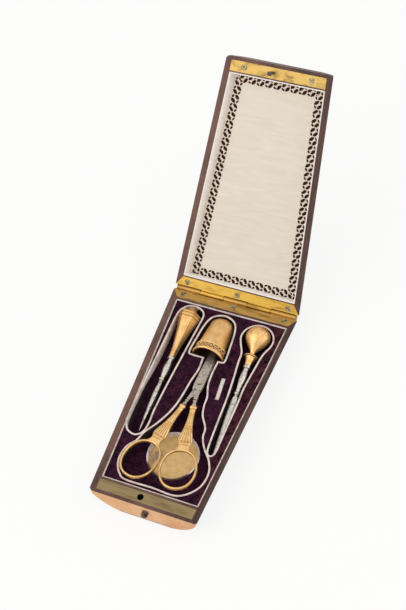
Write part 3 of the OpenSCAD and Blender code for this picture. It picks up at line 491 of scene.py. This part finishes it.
# %% Velvet on the card edging
VELVET_TOP, TOP_GRAIN, TOP_WAVE, TOP_EDGE = 12.4, 4.0, 0.8, (0.7, 0.4)
LEFT_WALL, BACK_PART, LOWER_BY = (-16, -20), (2, 18), (-2.2, -5.4)
edging_finish, tree, place = card_finish("velvet_faced_card", "e5d6cc", "ad9487", 0.9)
axes = add(tree, "SeparateXYZ", {0: place})
back = add(tree, "MapRange", {
    "Value": axes.outputs["Y"], "From Min": BACK_PART[0] / 1000, "From Max": BACK_PART[1] / 1000,
})
left = add(tree, "MapRange", {
    "Value": axes.outputs["X"], "From Min": LEFT_WALL[0] / 1000, "From Max": LEFT_WALL[1] / 1000,
})
top = add(tree, "MapRange", {"Value": back, "To Min": LOWER_BY[0] / 1000, "To Max": LOWER_BY[1] / 1000})
top = add(tree, "Math", {0: top, 1: left, 2: VELVET_TOP / 1000}, operation="MULTIPLY_ADD")
over = add(tree, "Math", {0: axes.outputs["Z"], 1: top}, operation="SUBTRACT")
covered = ragged_edge(tree, place, TOP_GRAIN, TOP_WAVE, over, TOP_EDGE)[1]
overlay(edging_finish, covered, "1f0b14")
dress(edging_finish, "card_edging")

# %% [markdown]
# ## Silk with a stamped border
#
# The lid is lined with a card panel in cream watered silk. Watered silk, or moire, has fine ribs with wavy
# bands where the ribs were pressed. The ribs are too fine to show, so they are drawn as soft waves about
# 3 mm apart. A border of small dark leaves is stamped near the edge of the panel.

# %% Silk finishes
RIB = 3.1416


def silk_finish(name):
    """Soft ribs, watermark bands of 26 by 5 mm, faint stains of 9 mm and small specks, and its node tree."""
    material, tree, shader = new_finish(name)
    place = add(tree, "TexCoord").outputs["Object"]
    flat = add(tree, "Mapping", {"Vector": place, "Rotation": (LID_ANGLE, 0, 0)})
    # A wave texture repeats every tau / 20 of its own units
    rib = add(tree, "TexWave", {
        "Vector": flat, "Scale": 1000 / RIB * math.tau / 20,
        "Distortion": 1.2, "Detail": 2.0, "Detail Scale": 0.6,
    }, bands_direction="Y")
    wide = add(tree, "Mapping", {"Vector": flat, "Scale": (1000 / 26, 1000 / 5, 1000 / 26)})
    water = add(tree, "TexNoise", {"Vector": wide, "Scale": 1.0, "Detail": 4.0, "Distortion": 1.6})
    stain = add(tree, "TexNoise", {"Vector": place, "Scale": 1000 / 9, "Detail": 6.0, "Roughness": 0.7})
    speck = add(tree, "TexVoronoi", {"Vector": flat, "Scale": 1000 / 14, "Randomness": 1.0})
    band = add(tree, "MapRange", {"Value": water, "From Min": 0.35, "From Max": 0.65})
    mark = add(tree, "MapRange", {"Value": stain, "From Min": 0.6, "From Max": 0.8, "To Max": 0.5})
    dot = add(tree, "MapRange", {
        "Value": speck.outputs["Distance"], "From Min": 0.045, "From Max": 0.02, "To Max": 0.4,
    })
    watered = add(tree, "Mix", {0: band, 6: paint("dcd1c0"), 7: paint("e3d8c9")}, data_type="RGBA")
    aged = add(tree, "Mix", {0: mark, 6: watered, 7: paint("cdb99e")}, data_type="RGBA")
    colour = add(tree, "Mix", {0: dot, 6: aged, 7: paint("77685c")}, data_type="RGBA")
    bump = add(tree, "Bump", {"Height": rib.outputs["Fac"], "Strength": 0.12, "Distance": 0.0001})
    fill(tree, shader, {"Base Color": colour, "Normal": bump, "Roughness": 0.6, "Sheen Weight": 0.15})
    return material, tree, shader


dress(silk_finish("watered_cream_silk")[0], "silk_panel")

# %% [markdown]
# The border is four flat strips that lie on the panel, with a UV map in mm that runs along them, so the
# leaves turn the corners. One repeat is four leaves: two large ones that lean across the strip and two
# small ones that fill the bays beside them. A leaf is an oval with a middle, a lean and two half-sizes in
# mm: a Mapping node of the texture kind moves, turns and then shrinks the map, so that a unit circle
# becomes the leaning oval. A little noise in the map makes every stamp slightly different.

# %% Stamped leaves
REPEAT = 4.3
LEAVES = (
    ((1.25, 0.85), 50, 1.45, 0.8), ((3.1, -0.85), 50, 1.45, 0.8),
    ((3.3, 1.35), -30, 0.85, 0.5), ((1.0, -1.4), -30, 0.85, 0.5),
)
stamped_finish, tree, shader = silk_finish("stamped_silk_border")
uv = add(tree, "UVMap", uv_map="border")
wobble = add(tree, "TexNoise", {"Vector": uv, "Scale": 1.6, "Detail": 3.0})
shift = add(tree, "VectorMath", {0: wobble.outputs["Color"], 1: (0.5, 0.5, 0.5)}, operation="SUBTRACT")
shift = add(tree, "VectorMath", {0: shift, "Scale": 0.8}, operation="SCALE")
uv = add(tree, "VectorMath", {0: uv, 1: shift})
axes = add(tree, "SeparateXYZ", {0: uv})
along = add(tree, "Math", {0: axes.outputs["X"], 1: 1 / REPEAT}, operation="MULTIPLY")
along = add(tree, "Math", {0: along}, operation="FRACT")
along = add(tree, "Math", {0: along, 1: REPEAT}, operation="MULTIPLY")
cell = add(tree, "CombineXYZ", {0: along, 1: axes.outputs["Y"]})
ink = None
for middle, lean, long, wide in LEAVES:
    leaf = add(tree, "Mapping", {
        "Vector": cell, "Location": (*middle, 0), "Rotation": (0, 0, math.radians(lean)),
        "Scale": (long, wide, 1),
    }, vector_type="TEXTURE")
    size = add(tree, "VectorMath", {0: leaf}, operation="LENGTH").outputs["Value"]
    leaf = add(tree, "MapRange", {"Value": size, "From Min": 1.06, "From Max": 0.94})
    ink = leaf if ink is None else add(tree, "Math", {0: ink, 1: leaf}, operation="MAXIMUM")
overlay(stamped_finish, ink, "330f08")
fill(tree, shader, {"Sheen Weight": 0.0, "Specular IOR Level": 0.1})
print("the border repeats", len(LEAVES), "leaves every", REPEAT, "mm")

# %% [markdown]
# Every new piece is worked out as a grid of points. One function makes such a grid a mesh and tells which
# body it rides on. It is used for the strips of the border first, and for all the tools after them.

# %% From a grid of points to a piece
def surface(name, points, uv, material, body, closed=True, groove=None, sharp=40, uv_name="map"):
    """A grid of points in mm, rows by columns, made a mesh of quads with a UV map in mm.

    Equal points are merged afterwards, so a seam or a pole whose points lie on each other closes.
    """
    rows, columns = points.shape[:2]
    index = np.arange(rows * columns).reshape(rows, columns)
    quads = np.stack([index[:-1, :-1], index[:-1, 1:], index[1:, 1:], index[1:, :-1]], -1).reshape(-1, 4)
    mesh = bpy.data.meshes.new(name)
    mesh.from_pydata((points.reshape(-1, 3) / 1000).tolist(), [], quads.tolist())
    layer = mesh.uv_layers.new(name=uv_name)
    layer.data.foreach_set("uv", uv.reshape(-1, 2)[quads.ravel()].ravel())
    if groove is not None:
        mark = mesh.attributes.new("groove", "FLOAT", "POINT")
        mark.data.foreach_set("value", groove.ravel())
    work = bmesh.new()
    work.from_mesh(mesh)
    bmesh.ops.remove_doubles(work, verts=work.verts, dist=1e-7)
    if closed:
        bmesh.ops.recalc_face_normals(work, faces=work.faces)
    work.to_mesh(mesh)
    work.free()
    mesh.polygons.foreach_set("use_smooth", np.ones(len(mesh.polygons), bool))
    mesh.set_sharp_from_angle(angle=math.radians(sharp))
    mesh.materials.append(material)
    piece = bpy.data.objects.new(name, mesh)
    scene.collection.objects.link(piece)
    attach(piece, body)
    print(name, "has", len(mesh.polygons), "faces")
    return piece


# %% [markdown]
# The strips are drawn on the silk of the shut lid and then turned back with it about the hinge axis.

# %% Lay the border
INSET, STRIP, PLAIN = 2.5, 2.1, 0.9
SHELL_WALL, LINING_CARD, FRONT_WALL, REAR_WALL = 2.9, 0.65, 7.4, 5.6
PANEL_DEPTH, ON_SILK, NEXT_SIDE = 6.2, 0.03, 40


def open_lid(points):
    """Turns points of the shut lid, in mm, back about the hinge axis by the opening angle."""
    x, y, z = points[..., 0], points[..., 1] - AXIS_Y, points[..., 2] - AXIS_Z
    c, s = math.cos(-LID_ANGLE), math.sin(-LID_ANGLE)
    return np.stack([x, AXIS_Y + c * y - s * z, AXIS_Z + s * y + c * z], -1)


def panel_corners(inset):
    """The four corners of the silk in the shut lid, drawn in by an inset and by a plain edge at the sides."""
    y0, y1 = FRONT_Y + FRONT_WALL + inset, REAR_Y - REAR_WALL - inset
    a, b = (half_width(y) - (SHELL_WALL + LINING_CARD) - PLAIN - inset for y in (y0, y1))
    return np.array([[-a, y0], [a, y0], [b, y1], [-b, y1]])


def border_strip(side):
    """One side: points between the outer and inner corner lines.

    The UV is measured in mm along the side's middle line and across it, so the mitred ends do not shear the
    pattern. Two sides are mirrored, and each starts a step further on in the noise.
    """
    u, v = np.meshgrid(np.linspace(0, 1, 120), np.linspace(0, 1, 7), indexing="ij")
    outer, inner, middle = (panel_corners(INSET + step) for step in (-STRIP, STRIP, 0))
    ends = [(outer[k] * (1 - v[..., None]) + inner[k] * v[..., None]) for k in (side, (side + 1) % 4)]
    flat = ends[0] * (1 - u[..., None]) + ends[1] * u[..., None]
    depth = np.full(u.shape + (1,), LID_RIM + PANEL_DEPTH - ON_SILK)
    along = middle[(side + 1) % 4] - middle[side]
    along /= np.linalg.norm(along)
    across = np.array([-along[1], along[0]]) * (-1 if side in (0, 3) else 1)
    uv = (flat - middle[side]) @ np.stack([along, across], -1) + (NEXT_SIDE * side, 0)
    return open_lid(np.concatenate([flat, depth], -1)), uv


for side, word in enumerate(("front", "right", "rear", "left")):
    points, uv = border_strip(side)
    surface(
        "silk_border_" + word, points[::-1], uv[::-1], stamped_finish, "lid",
        closed=False, uv_name="border",
    )

# %% [markdown]
# ## Gilt
#
# The handles and the thimble are gold-washed silver: warm, soft in its gloss, and brown where the engraving
# holds old polish. A thin film of that polish is left all over, so a small share of the light is diffuse.
# Most of the engraving is real relief. Each surface below works out where its grooves are, moves in there,
# and stores their share as an attribute, which the material darkens. The finest lines are only darkened. The
# same attribute also carries painted shade inside the thimble and in the steps of the stiletto's mouldings.

# %% Gilt finish
gilt_finish, tree, shader = new_finish("gold_washed_silver")
place = add(tree, "TexCoord").outputs["Object"]
depth = add(tree, "Attribute", attribute_name="groove").outputs["Fac"]
patch = add(tree, "TexNoise", {"Vector": place, "Scale": 1000 / 3.5, "Detail": 5.0, "Roughness": 0.6})
fine = add(tree, "TexNoise", {"Vector": place, "Scale": 1000 / 0.3, "Detail": 3.0})
tone = add(tree, "MapRange", {"Value": patch, "From Min": 0.35, "From Max": 0.7})
gold = add(tree, "Mix", {0: tone, 6: paint("f0c88a"), 7: paint("dda865")}, data_type="RGBA")
dark = add(tree, "Math", {0: depth, 1: 0.9}, operation="MULTIPLY", use_clamp=True)
rough = add(tree, "MapRange", {"Value": patch, "To Min": 0.26, "To Max": 0.44})
bump = add(tree, "Bump", {"Height": fine, "Strength": 0.15, "Distance": 0.00005})
fill(tree, shader, {"Base Color": gold, "Roughness": rough, "Normal": bump, "Metallic": 0.85})
overlay(gilt_finish, dark, "4f2c12")
print(gilt_finish.name, "has", len(tree.nodes), "nodes")

# %% [markdown]
# ## Turned pieces
#
# A thimble, a ball handle and a shaft are all turned: a profile of radius against length, spun about an
# axis. One function spins any profile and lays it along its axis. A groove pattern in length and angle
# is cut into the radius.

# %% Spinning a profile
def ease(edge0, edge1, value):
    """A smooth step from 0 at edge0 to 1 at edge1."""
    t = np.clip((value - edge0) / (edge1 - edge0), 0, 1)
    return t * t * (3 - 2 * t)


def stroke(value, place, reach, core):
    """An engraved line at a place: 1 within its core and 0 past its reach."""
    return ease(reach, core, np.abs(value - place))


def stretch(value, start, full, fading, end):
    """1 from full to fading, with a smooth step from start and another one to the end."""
    return ease(start, full, value) * ease(end, fading, value)


def profile(knots, count):
    """Points at even steps along a line of (length, radius) knots, with the knots themselves kept."""
    knots = np.array(knots, float)
    run = np.concatenate([[0], np.cumsum(np.linalg.norm(np.diff(knots, axis=0), axis=1))])
    at = np.unique(np.concatenate([np.linspace(0, run[-1], count), run]))
    return np.interp(at, run, knots[:, 0]), np.interp(at, run, knots[:, 1])


def spin(name, s, r, origin, axis, material, body, relief=None, sides=0, turns=192, sharp=40):
    """Spins radius r against length s about an axis.

    With sides, the section is a polygon whose corners lie at that radius. A relief gives the share of a
    groove and its depth in mm for every length S, angle A and radius R.
    """
    axis = np.array(axis, float) / np.linalg.norm(axis)
    across = np.array([1.0, 0, 0]) - axis[0] * axis
    across /= np.linalg.norm(across)
    above = np.cross(axis, across)
    angle = np.linspace(0, math.tau, turns + 1)
    S, A = np.meshgrid(s, angle, indexing="ij")
    R = np.repeat(np.array(r)[:, None], turns + 1, axis=1)
    if sides:
        wedge = math.tau / sides
        R = R * math.cos(wedge / 2) / np.cos(A % wedge - wedge / 2)
    groove = np.zeros_like(R)
    if relief is not None:
        groove, cut = relief(S, A, R)
        R = np.maximum(R - cut * groove, 0)
    radial = np.cos(A)[..., None] * across + np.sin(A)[..., None] * above
    points = np.array(origin) + S[..., None] * axis + R[..., None] * radial
    points[:, -1] = points[:, 0]
    uv = np.stack([A * np.max(r), S], -1)
    return surface(name, points, uv, material, body, True, groove, sharp)


print("a smooth step from 0 to 1 has reached", ease(0, 1, 0.25), "after a quarter")

# %% [markdown]
# ## The thimble
#
# It lies with its mouth to the front and its lower side on its bed, so its axis falls a little towards the
# dome. Its profile goes round the rolled rim, over a band with a chain of rings between two beads, up the
# cone with rows of small dimples, over the dome, and back down inside.

# %% Make the thimble
THIMBLE_X, MOUTH_Y, THIMBLE_SINK = -2.1, REAR_Y - 32.8, 3.0
RIM_R, END_R, THIMBLE_L, WALL = 8.5, 6.6, 23.8, 0.6
LEAN = math.radians(5.8438)
CONE = 0.78 * THIMBLE_L
DOME_H = THIMBLE_L - CONE
BAND, BAND_HALF, CHAIN_RINGS, CHAIN_R = 2.8, 1.4, 20, 0.95
DIMPLES, DIMPLES_FROM, DIMPLE_ROW = 46, 6.0, 0.95
dome = [(CONE + DOME_H * math.sin(t), END_R * math.cos(t)) for t in np.linspace(0.0, math.pi / 2, 40)]
hollow = [(p - WALL * p / THIMBLE_L, max(q - WALL, 0)) for p, q in reversed(dome)]
outside = [
    (0.0, RIM_R - 0.75), (0.12, RIM_R - 0.25), (0.5, RIM_R), (0.9, RIM_R - 0.12), (1.15, RIM_R - 0.5),
    *((p, RIM_R - 0.32 - 0.07 * p) for p in np.linspace(1.4, 4.2, 26)),
    (4.35, RIM_R - 0.42), (4.7, RIM_R - 0.32), (5.05, RIM_R - 0.5), (5.2, RIM_R - 0.95),
]
inside = hollow + [(0.5, RIM_R - 1.1), (0.0, RIM_R - 0.75)]
s, r = np.concatenate([profile(outside + dome, 150), profile(inside, 40)], axis=1)
inner_from = int(np.argmax(s))


def thimble_relief(S, A, R):
    """A chain of rings with dots on the band, dimples a millimetre apart on the cone, and painted shade
    inside.
    """
    outer = np.arange(S.shape[0])[:, None] <= inner_from
    off = np.abs(S - BAND)
    band = (off < BAND_HALF) * outer
    apart = np.hypot((A / math.tau * CHAIN_RINGS % 1 - 0.5) * 2.5, off)
    lines = stroke(off, 1.25, 0.16, 0.06)
    chain = stroke(apart, CHAIN_R, 0.3, 0.14) + ease(0.42, 0.26, apart) + lines
    rowed = (S - DIMPLES_FROM) / DIMPLE_ROW
    across = (A / math.tau * DIMPLES + np.floor(rowed) % 2 * 0.5) % 1 - 0.5
    on_cone = (S > DIMPLES_FROM) * (S < CONE + 1.0) * outer
    hole = ease(0.42, 0.15, np.hypot(across, rowed % 1 - 0.5)) * on_cone
    # Painted shade: the inside grows darker from the mouth inwards.
    inside_shade = np.where(outer, 0, 0.75 * ease(0.2, 2.5, S))
    groove = np.clip(band * chain + 0.2 * hole + inside_shade, 0, 1)
    return groove, np.where(band, 0.16, 0.12) * outer


thimble_axis = (0, math.cos(LEAN), -math.sin(LEAN))
thimble = spin(
    "engraved_thimble", s, r, (THIMBLE_X, MOUTH_Y, RIM - THIMBLE_SINK), thimble_axis,
    gilt_finish, "thimble", thimble_relief, turns=320, sharp=50,
)
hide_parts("thimble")

# %% [markdown]
# ## The stiletto's handle
#
# Six-sided and tapered, with a dark knob on a stepped cap and a double moulding. It is spun like a turned
# piece, but with a six-sided section. Fine engraved lines follow the edges of each face and run together
# towards the neck. The handle's place is HEAD mm from the end of its knob.

# %% Make the stiletto's handle
HEAD, HANDLE_L, STILETTO_SINK = 6.0, 29.0, 1.76366
STILETTO = np.array([-19.2, REAR_Y - 8.5 - HEAD, RIM - STILETTO_SINK])
DIP = math.radians(4.11142)
stiletto_axis = np.array([0, -math.cos(DIP), -math.sin(DIP)])
MOULDINGS = (4.0, 5.0, 5.7, 6.75, 25.6, 26.6)
knots = [
    (0, 0), (0.1, 1.5), (0.5, 2.15), (1.2, 2.4), (2.0, 2.3), (2.3, 2.2), (2.45, 3.6), (3.2, 4.7), (3.95, 5.4),
    (4.1, 5.8), (4.8, 5.8), (4.95, 5.4), (5.75, 5.4), (5.9, 5.8), (6.6, 5.7), (6.75, 5.35), (12.0, 4.05),
    (18.0, 2.9), (23.2, 2.1), (28.0, 1.75), (29.0, 1.7), (29.0, 0),
]
s, r = profile(knots, 120)


def panel_relief(S, A, R):
    """A line near both edges of each face, a short middle line, rings at the mouldings with painted shade, a
    dark knob.
    """
    S = S + HEAD
    wedge = math.pi / 3
    across = (A % wedge - wedge / 2) / (wedge / 2)
    on = stretch(S, 7.3, 7.6, 24.0, 25.0)
    edges = stroke(np.abs(across), 0.74, 0.09, 0.03)
    middle = stroke(across, 0, 0.08, 0.02) * ease(17, 16, S)
    # Painted shade: besides cutting a shallow groove, the rings darken the steps of the mouldings.
    rings = sum(stroke(S, place, 0.16, 0.05) for place in MOULDINGS)
    faces = on * np.maximum(0.3 * edges, 0.3 * middle)
    groove = np.clip(faces + 0.55 * rings + 0.5 * ease(3.4, 2.4, S), 0, 1)
    return groove, np.full_like(R, 0.08)


stiletto_handle = spin(
    "faceted_stiletto_handle", s - HEAD, r, STILETTO, stiletto_axis, gilt_finish, "stiletto",
    panel_relief, sides=6, turns=360, sharp=28,
)
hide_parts("stiletto_handle")

# %% [markdown]
# ## The bodkin's handle
#
# A ball that runs down to a slim neck like an onion, and a saucer-shaped collar under it. Faint petals are
# engraved on the ball.

# %% Make the bodkin's handle
BALL_R, BALL_SINK = 6.1, 0.6
BODKIN_TURN, BODKIN_DIP = math.radians(1.4), math.radians(4.79309)
BODKIN = np.array([17.8, REAR_Y - 10.1, 0])
cosine, sine = math.cos(BODKIN_TURN), math.sin(BODKIN_TURN)
z_turn = np.array([[cosine, -sine, 0], [sine, cosine, 0], [0, 0, 1]])
ball_middle = BODKIN + z_turn @ np.array([0, -BALL_R, RIM - BALL_SINK])
bodkin_axis = z_turn @ np.array([0, -math.cos(BODKIN_DIP), -math.sin(BODKIN_DIP)])
ball = [
    (0, 0), (0.1, 1.3), (0.4, 2.6), (0.9, 3.7), (1.6, 4.6), (2.5, 5.35), (3.6, 5.85), (4.7, 6.07), (5.6, 6.1),
    (6.8, 5.9), (8.0, 5.4), (9.2, 4.65), (10.4, 3.75), (11.5, 2.9), (12.5, 2.15), (13.4, 1.55), (14.1, 1.25),
]
collar = [
    (14.7, 1.15), (15.1, 1.5), (15.5, 2.3), (15.9, 3.1), (16.15, 3.38), (16.35, 3.38), (16.5, 3.1),
    (16.8, 2.55), (17.5, 2.2), (18.6, 1.95), (19.6, 1.78), (20.4, 1.68), (21.0, 1.6), (21.0, 0),
]
s, r = profile(ball + collar, 260)


def petal_relief(S, A, R):
    """Six faint petals on the ball, a fine ring across them, and a ring under the collar."""
    S = S + BALL_R
    reach = stretch(S, 1.0, 2.0, 10.0, 11.5)
    sides = ease(0.14, 0.04, np.abs(np.cos(6 * A) - 0.9 + 0.06 * (S - 6.0) ** 2))
    rings = stroke(S, 5.2, 0.14, 0.05) * 0.5 + stroke(S, 19.0, 0.12, 0.04)
    return np.clip(0.4 * reach * sides + 0.6 * rings, 0, 1), np.full_like(R, 0.1)


bodkin_handle = spin(
    "turned_bodkin_handle", s - BALL_R, r, ball_middle, bodkin_axis, gilt_finish, "bodkin",
    petal_relief, turns=192,
)
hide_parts("bodkin_handle")

# %% [markdown]
# ## The scissors' handles
#
# Each handle is a shank that flares to two shoulders and joins an oval ring. The shank is one section
# carried along a line: a rounded oblong whose width and height change with the distance. The ring is a
# small rounded section carried round an oval. Flutes, rays and bars are engraved on the shank.

# %% Where the scissors lie
SCISSORS = np.array([0.1, REAR_Y - 47.8, RIM - 2.0])
SLOPE = math.radians(3.5)
HANDLES = (("left", -1, math.radians(-12.5)), ("right", 1, math.radians(10.5)))


def on_tray(points, angle, level):
    """Turns flat points about the pivot by an angle, lifts them to a level and lays them on the slope."""
    c, s = math.cos(angle), math.sin(angle)
    x = c * points[..., 0] - s * points[..., 1]
    y = s * points[..., 0] + c * points[..., 1]
    z = points[..., 2] + level
    c, s = math.cos(-SLOPE), math.sin(-SLOPE)
    return np.stack([x, c * y - s * z, s * y + c * z], -1) + SCISSORS


print("the scissors turn about", SCISSORS.round(1), "in mm")

# %% Shape of a shank
SHANK_START, RING_REACH, RING_BAND, RING_JOIN = 13.6, 48.2, 0.85, 0.2
RING_W, RING_L = 7.5 + RING_BAND, 9.2 + RING_BAND
SHANK_L = RING_REACH - RING_L + RING_JOIN - SHANK_START
SHANK_T = (0, 0.1, 0.3, 0.45, 0.58, 0.7, 0.76, 0.8, 0.86, 0.91, 0.96, 1.0)
SHANK_W = (1.5, 1.3, 1.5, 1.9, 2.5, 3.2, 3.5, 3.5, 2.8, 2.6, 3.1, 4.2)
SMOOTH, ENGRAVED = 6, 0.14
BARS = (1.9, 11.6, 19.7, 20.5, 21.8)
RAYS_FROM, RAY_DEGREES = 8.0, 6.5


def oblong(angle, power):
    """A rounded oblong: cosine and sine, each raised to 2 / power with its sign kept."""
    c, s = np.cos(angle), np.sin(angle)
    return np.sign(c) * np.abs(c) ** (2 / power), np.sign(s) * np.abs(s) ** (2 / power)


def shank(angle, level):
    """Half-width from a table, smoothed; fine flutes, then rays that spread from one point, then bars."""
    t, a = np.meshgrid(np.linspace(0, 1, 260), np.linspace(0, math.tau, 121), indexing="ij")
    d = t * SHANK_L
    table = np.pad(np.interp(t[:, 0], SHANK_T, SHANK_W), SMOOTH, "edge")
    w = np.convolve(table, np.ones(2 * SMOOTH + 1) / (2 * SMOOTH + 1), "valid")[:, None]
    w = w + 0.3 * stroke(d, 0.9, 0.9, 0.2) + 0.15 * stroke(d, 2.6, 0.5, 0.1)
    h = 0.95 + 0.1 * np.sin(math.pi * t) + 0.2 * stroke(d, 0.9, 0.9, 0.2)
    u, v = oblong(a, 2.5)
    flutes = ease(0.3, 0.9, np.cos(9 * u)) * stretch(d, 3.4, 4.2, 10.0, 11.5)
    spread = np.degrees(np.arctan2(u * w, d - RAYS_FROM))
    rays = ease(0.45, 0.85, np.cos(math.tau * spread / RAY_DEGREES)) * stretch(d, 11.8, 12.6, 19.1, 19.4)
    bars = sum(stroke(d, place, 0.2, 0.07) for place in BARS)
    scales = ease(0.1, 0.6, np.cos(4.2 * u * w)) * stretch(d, 19.8, 19.9, 20.3, 20.4)
    groove = np.clip(0.55 * flutes + 0.85 * rays + 0.9 * bars + 0.7 * scales, 0, 1) * (np.abs(u) < 0.9)
    close = np.where((t == 0) | (t == 1), 0.0, 1.0)
    points = np.stack([u * w * close, -SHANK_START - d, (h - ENGRAVED * groove) * v * close], -1)
    points[:, -1] = points[:, 0]
    return on_tray(points, angle, level), np.stack([u * w, d], -1), groove


print("a shank is", round(SHANK_L, 1), "mm long")

# %% Make the handles
LEVEL, RING_ACROSS, RING_UP = 0.9, 0.55, 0.95


def finger_ring(angle, level):
    """An oval ring: a rounded section, given by its half-sizes across and up, carried about an oval."""
    p, a = np.meshgrid(np.linspace(0, math.tau, 161), np.linspace(0, math.tau, 41), indexing="ij")
    u, v = oblong(a, 2.6)
    cx, cy = oblong(p, 2.15)
    middle = np.stack([RING_W * cx, RING_L * cy - RING_REACH], -1)
    out = np.stack([np.cos(p) / RING_W, np.sin(p) / RING_L], -1)
    out /= np.linalg.norm(out, axis=-1, keepdims=True)
    flat = middle + (RING_ACROSS * u)[..., None] * out
    points = np.concatenate([flat, (RING_UP * v)[..., None]], -1)
    points[-1], points[:, -1] = points[0], points[:, 0]
    line = 0.5 * stroke(u, 0.35, 0.2, 0.05) * (v > 0)
    return on_tray(points, angle, level), np.stack([p * RING_W, a], -1), line


for word, side, angle in HANDLES:
    for part, shape in (("shank", shank), ("ring", finger_ring)):
        points, uv, groove = shape(angle, side * LEVEL)
        name = f"{word}_scissors_{part}"
        piece = surface(name, points, uv, gilt_finish, "scissors_" + word, True, groove, 60)
        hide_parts(word + "_handle")

# %% [markdown]
# ## Steel shafts
#
# Both shafts are turned near the handle: a collar, a slim neck, a long bulb and a ring. The stiletto then
# runs out to a point. The bodkin ends in a flat blade with a line along each side: one section carried
# along a line, like the shanks.

# %% Make the stiletto's shaft
spike = [
    (0, 0), (0, 1.75), (0.5, 1.85), (1.1, 1.75), (1.3, 1.25), (2.0, 1.15), (2.6, 1.3), (5.0, 1.75),
    (7.0, 1.85), (9.5, 1.6), (12.0, 1.15), (12.2, 1.5), (12.7, 1.65), (13.3, 1.5), (13.5, 1.1), (14.6, 1.05),
    (16.0, 1.2), (20.0, 1.48), (24.0, 1.5), (29.0, 1.25), (34.0, 0.9), (38.0, 0.62), (41.0, 0.3), (41.5, 0),
]
s, r = profile(spike, 200)
stiletto_shaft = spin(
    "turned_stiletto_shaft", s + HANDLE_L - HEAD, r, STILETTO, stiletto_axis,
    shaft_finish, "stiletto", turns=64,
)
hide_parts("stiletto_shaft")

# %% Make the bodkin's shaft
baluster = [
    (0, 0), (0, 1.5), (0.8, 1.55), (0.95, 1.8), (1.7, 1.8), (1.9, 1.2), (3.0, 1.25), (6.0, 1.7), (8.0, 1.8),
    (11.0, 1.5), (15.0, 1.1), (15.3, 1.45), (15.9, 1.62), (16.4, 1.45), (16.6, 1.05), (18.0, 0.95), (18.0, 0),
]
BODKIN_L = 21.0
s, r = profile(baluster, 160)
bodkin_stem = spin(
    "turned_bodkin_stem", s + BODKIN_L - BALL_R, r, ball_middle, bodkin_axis,
    shaft_finish, "bodkin", turns=64,
)
BLADE_D = (17.2, 18.0, 21.4, 30, 42, 47.5, 48.5, 48.9, 49)
BLADE_W = (0.9, 1.36, 1.7, 1.6, 1.15, 0.85, 0.7, 0.45, 0.2)


def bodkin_blade():
    """Half-width from a table, with a round tip, half-height about 0.6 mm, and two side lines."""
    d, a = np.meshgrid(np.linspace(BLADE_D[0], BLADE_D[-1], 160), np.linspace(0, math.tau, 65), indexing="ij")
    w = np.interp(d, BLADE_D, BLADE_W)
    h = np.interp(d, [17.2, 18.0, 40, 49], [0.5, 0.7, 0.6, 0.3])
    u, v = oblong(a, 3.2)
    across = z_turn @ np.array([1.0, 0, 0])
    above = np.cross(across, bodkin_axis)
    close = np.where((d == d[0, 0]) | (d == d[-1, 0]), 0.0, 1.0)
    line = ball_middle + (BODKIN_L - BALL_R + d)[..., None] * bodkin_axis
    points = line + (close * w * u)[..., None] * across + (close * h * v)[..., None] * above
    points[:, -1] = points[:, 0]
    sides = stroke(np.abs(u), 0.62, 0.12, 0.03) * stretch(d, 18.5, 20.0, 46.0, 48.0)
    return points, np.stack([u * w, d], -1), 0.6 * sides


points, uv, groove = bodkin_blade()
blade = surface("flat_bodkin_blade", points, uv, shaft_finish, "bodkin", True, groove, 50)
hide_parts("bodkin_shaft")
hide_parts("bodkin_shaft")

# %% [markdown]
# ## Scissor blades
#
# A blade is widest at the rivet and runs to a point inside the thimble. Its outline is given by the places
# of its left and right edge, and its section is a flat oblong with rounded edges. Behind the heel stand the
# rings of the bolster, which is turned like the shafts.

# %% Make the blades and bolsters
BLADE_LEVEL, BLADE_THICK, BOLSTER, TIP = 0.75, 0.68, 9.2, 28


def scissor_blade(side, angle):
    """Left and right edge against the distance from the rivet, a flat rounded section, two ground lines."""
    neck = np.array([math.sin(angle), -math.cos(angle)]) * (BOLSTER + 0.6)
    y = np.array([TIP, 26, 14, 3.4, -0.9, -4.1, neck[1] + 0.4])
    tip = -0.5 * side
    low = np.array([tip - 0.05, tip - 0.5, -2.11 - 0.2 * side, -2.4, -2.4, -2.16, neck[0] - 0.9])
    high = np.array([tip + 0.05, tip + 0.5, 2.11 - 0.2 * side, 2.4, 2.4, 2.16, neck[0] + 0.9])
    d, a = np.meshgrid(np.linspace(TIP, y[-1], 160), np.linspace(0, math.tau, 65), indexing="ij")
    edge0, edge1 = np.interp(-d, -y, low), np.interp(-d, -y, high)
    u, v = oblong(a, 4.0)
    close = np.where((d == d[0, 0]) | (d == d[-1, 0]), 0.0, 1.0)
    x = (edge0 + edge1) / 2 + close * (edge1 - edge0) / 2 * u
    points = np.stack([x, d, BLADE_THICK * v * close], -1)
    points[:, -1] = points[:, 0]
    lines = sum(stroke(u, place, 0.05, 0.02) for place in (0.4, 0.75)) * (v > 0)
    return on_tray(points, 0, side * BLADE_LEVEL), np.stack([x, d], -1), 0.5 * lines * ease(0.5, 2.0, d)


rings = [
    (8.9, 0), (8.9, 0.8), (9.2, 1.15), (9.6, 1.25), (10.0, 1.15), (10.15, 0.8), (10.5, 0.8), (10.6, 1.1),
    (11.0, 1.2), (11.3, 1.1), (11.45, 0.8), (12.5, 0.85), (12.7, 1.1), (13.1, 1.15), (13.5, 1.0), (13.6, 0),
]
s, r = profile(rings, 120)
for word, side, angle in HANDLES:
    points, uv, groove = scissor_blade(side, angle)
    body = "scissors_" + word
    blade = surface(word + "_ground_blade", points, uv, steel_finish, body, True, groove, 40)
    ends = on_tray(np.array([[0.0, 0, 0], [0, -1, 0]]), angle, side * BLADE_LEVEL)
    bolster = spin(
        word + "_turned_bolster", s, r, ends[0], ends[1] - ends[0], steel_finish, body, turns=48,
    )
    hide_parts(word + "_blade")
    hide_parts(word + "_blade")
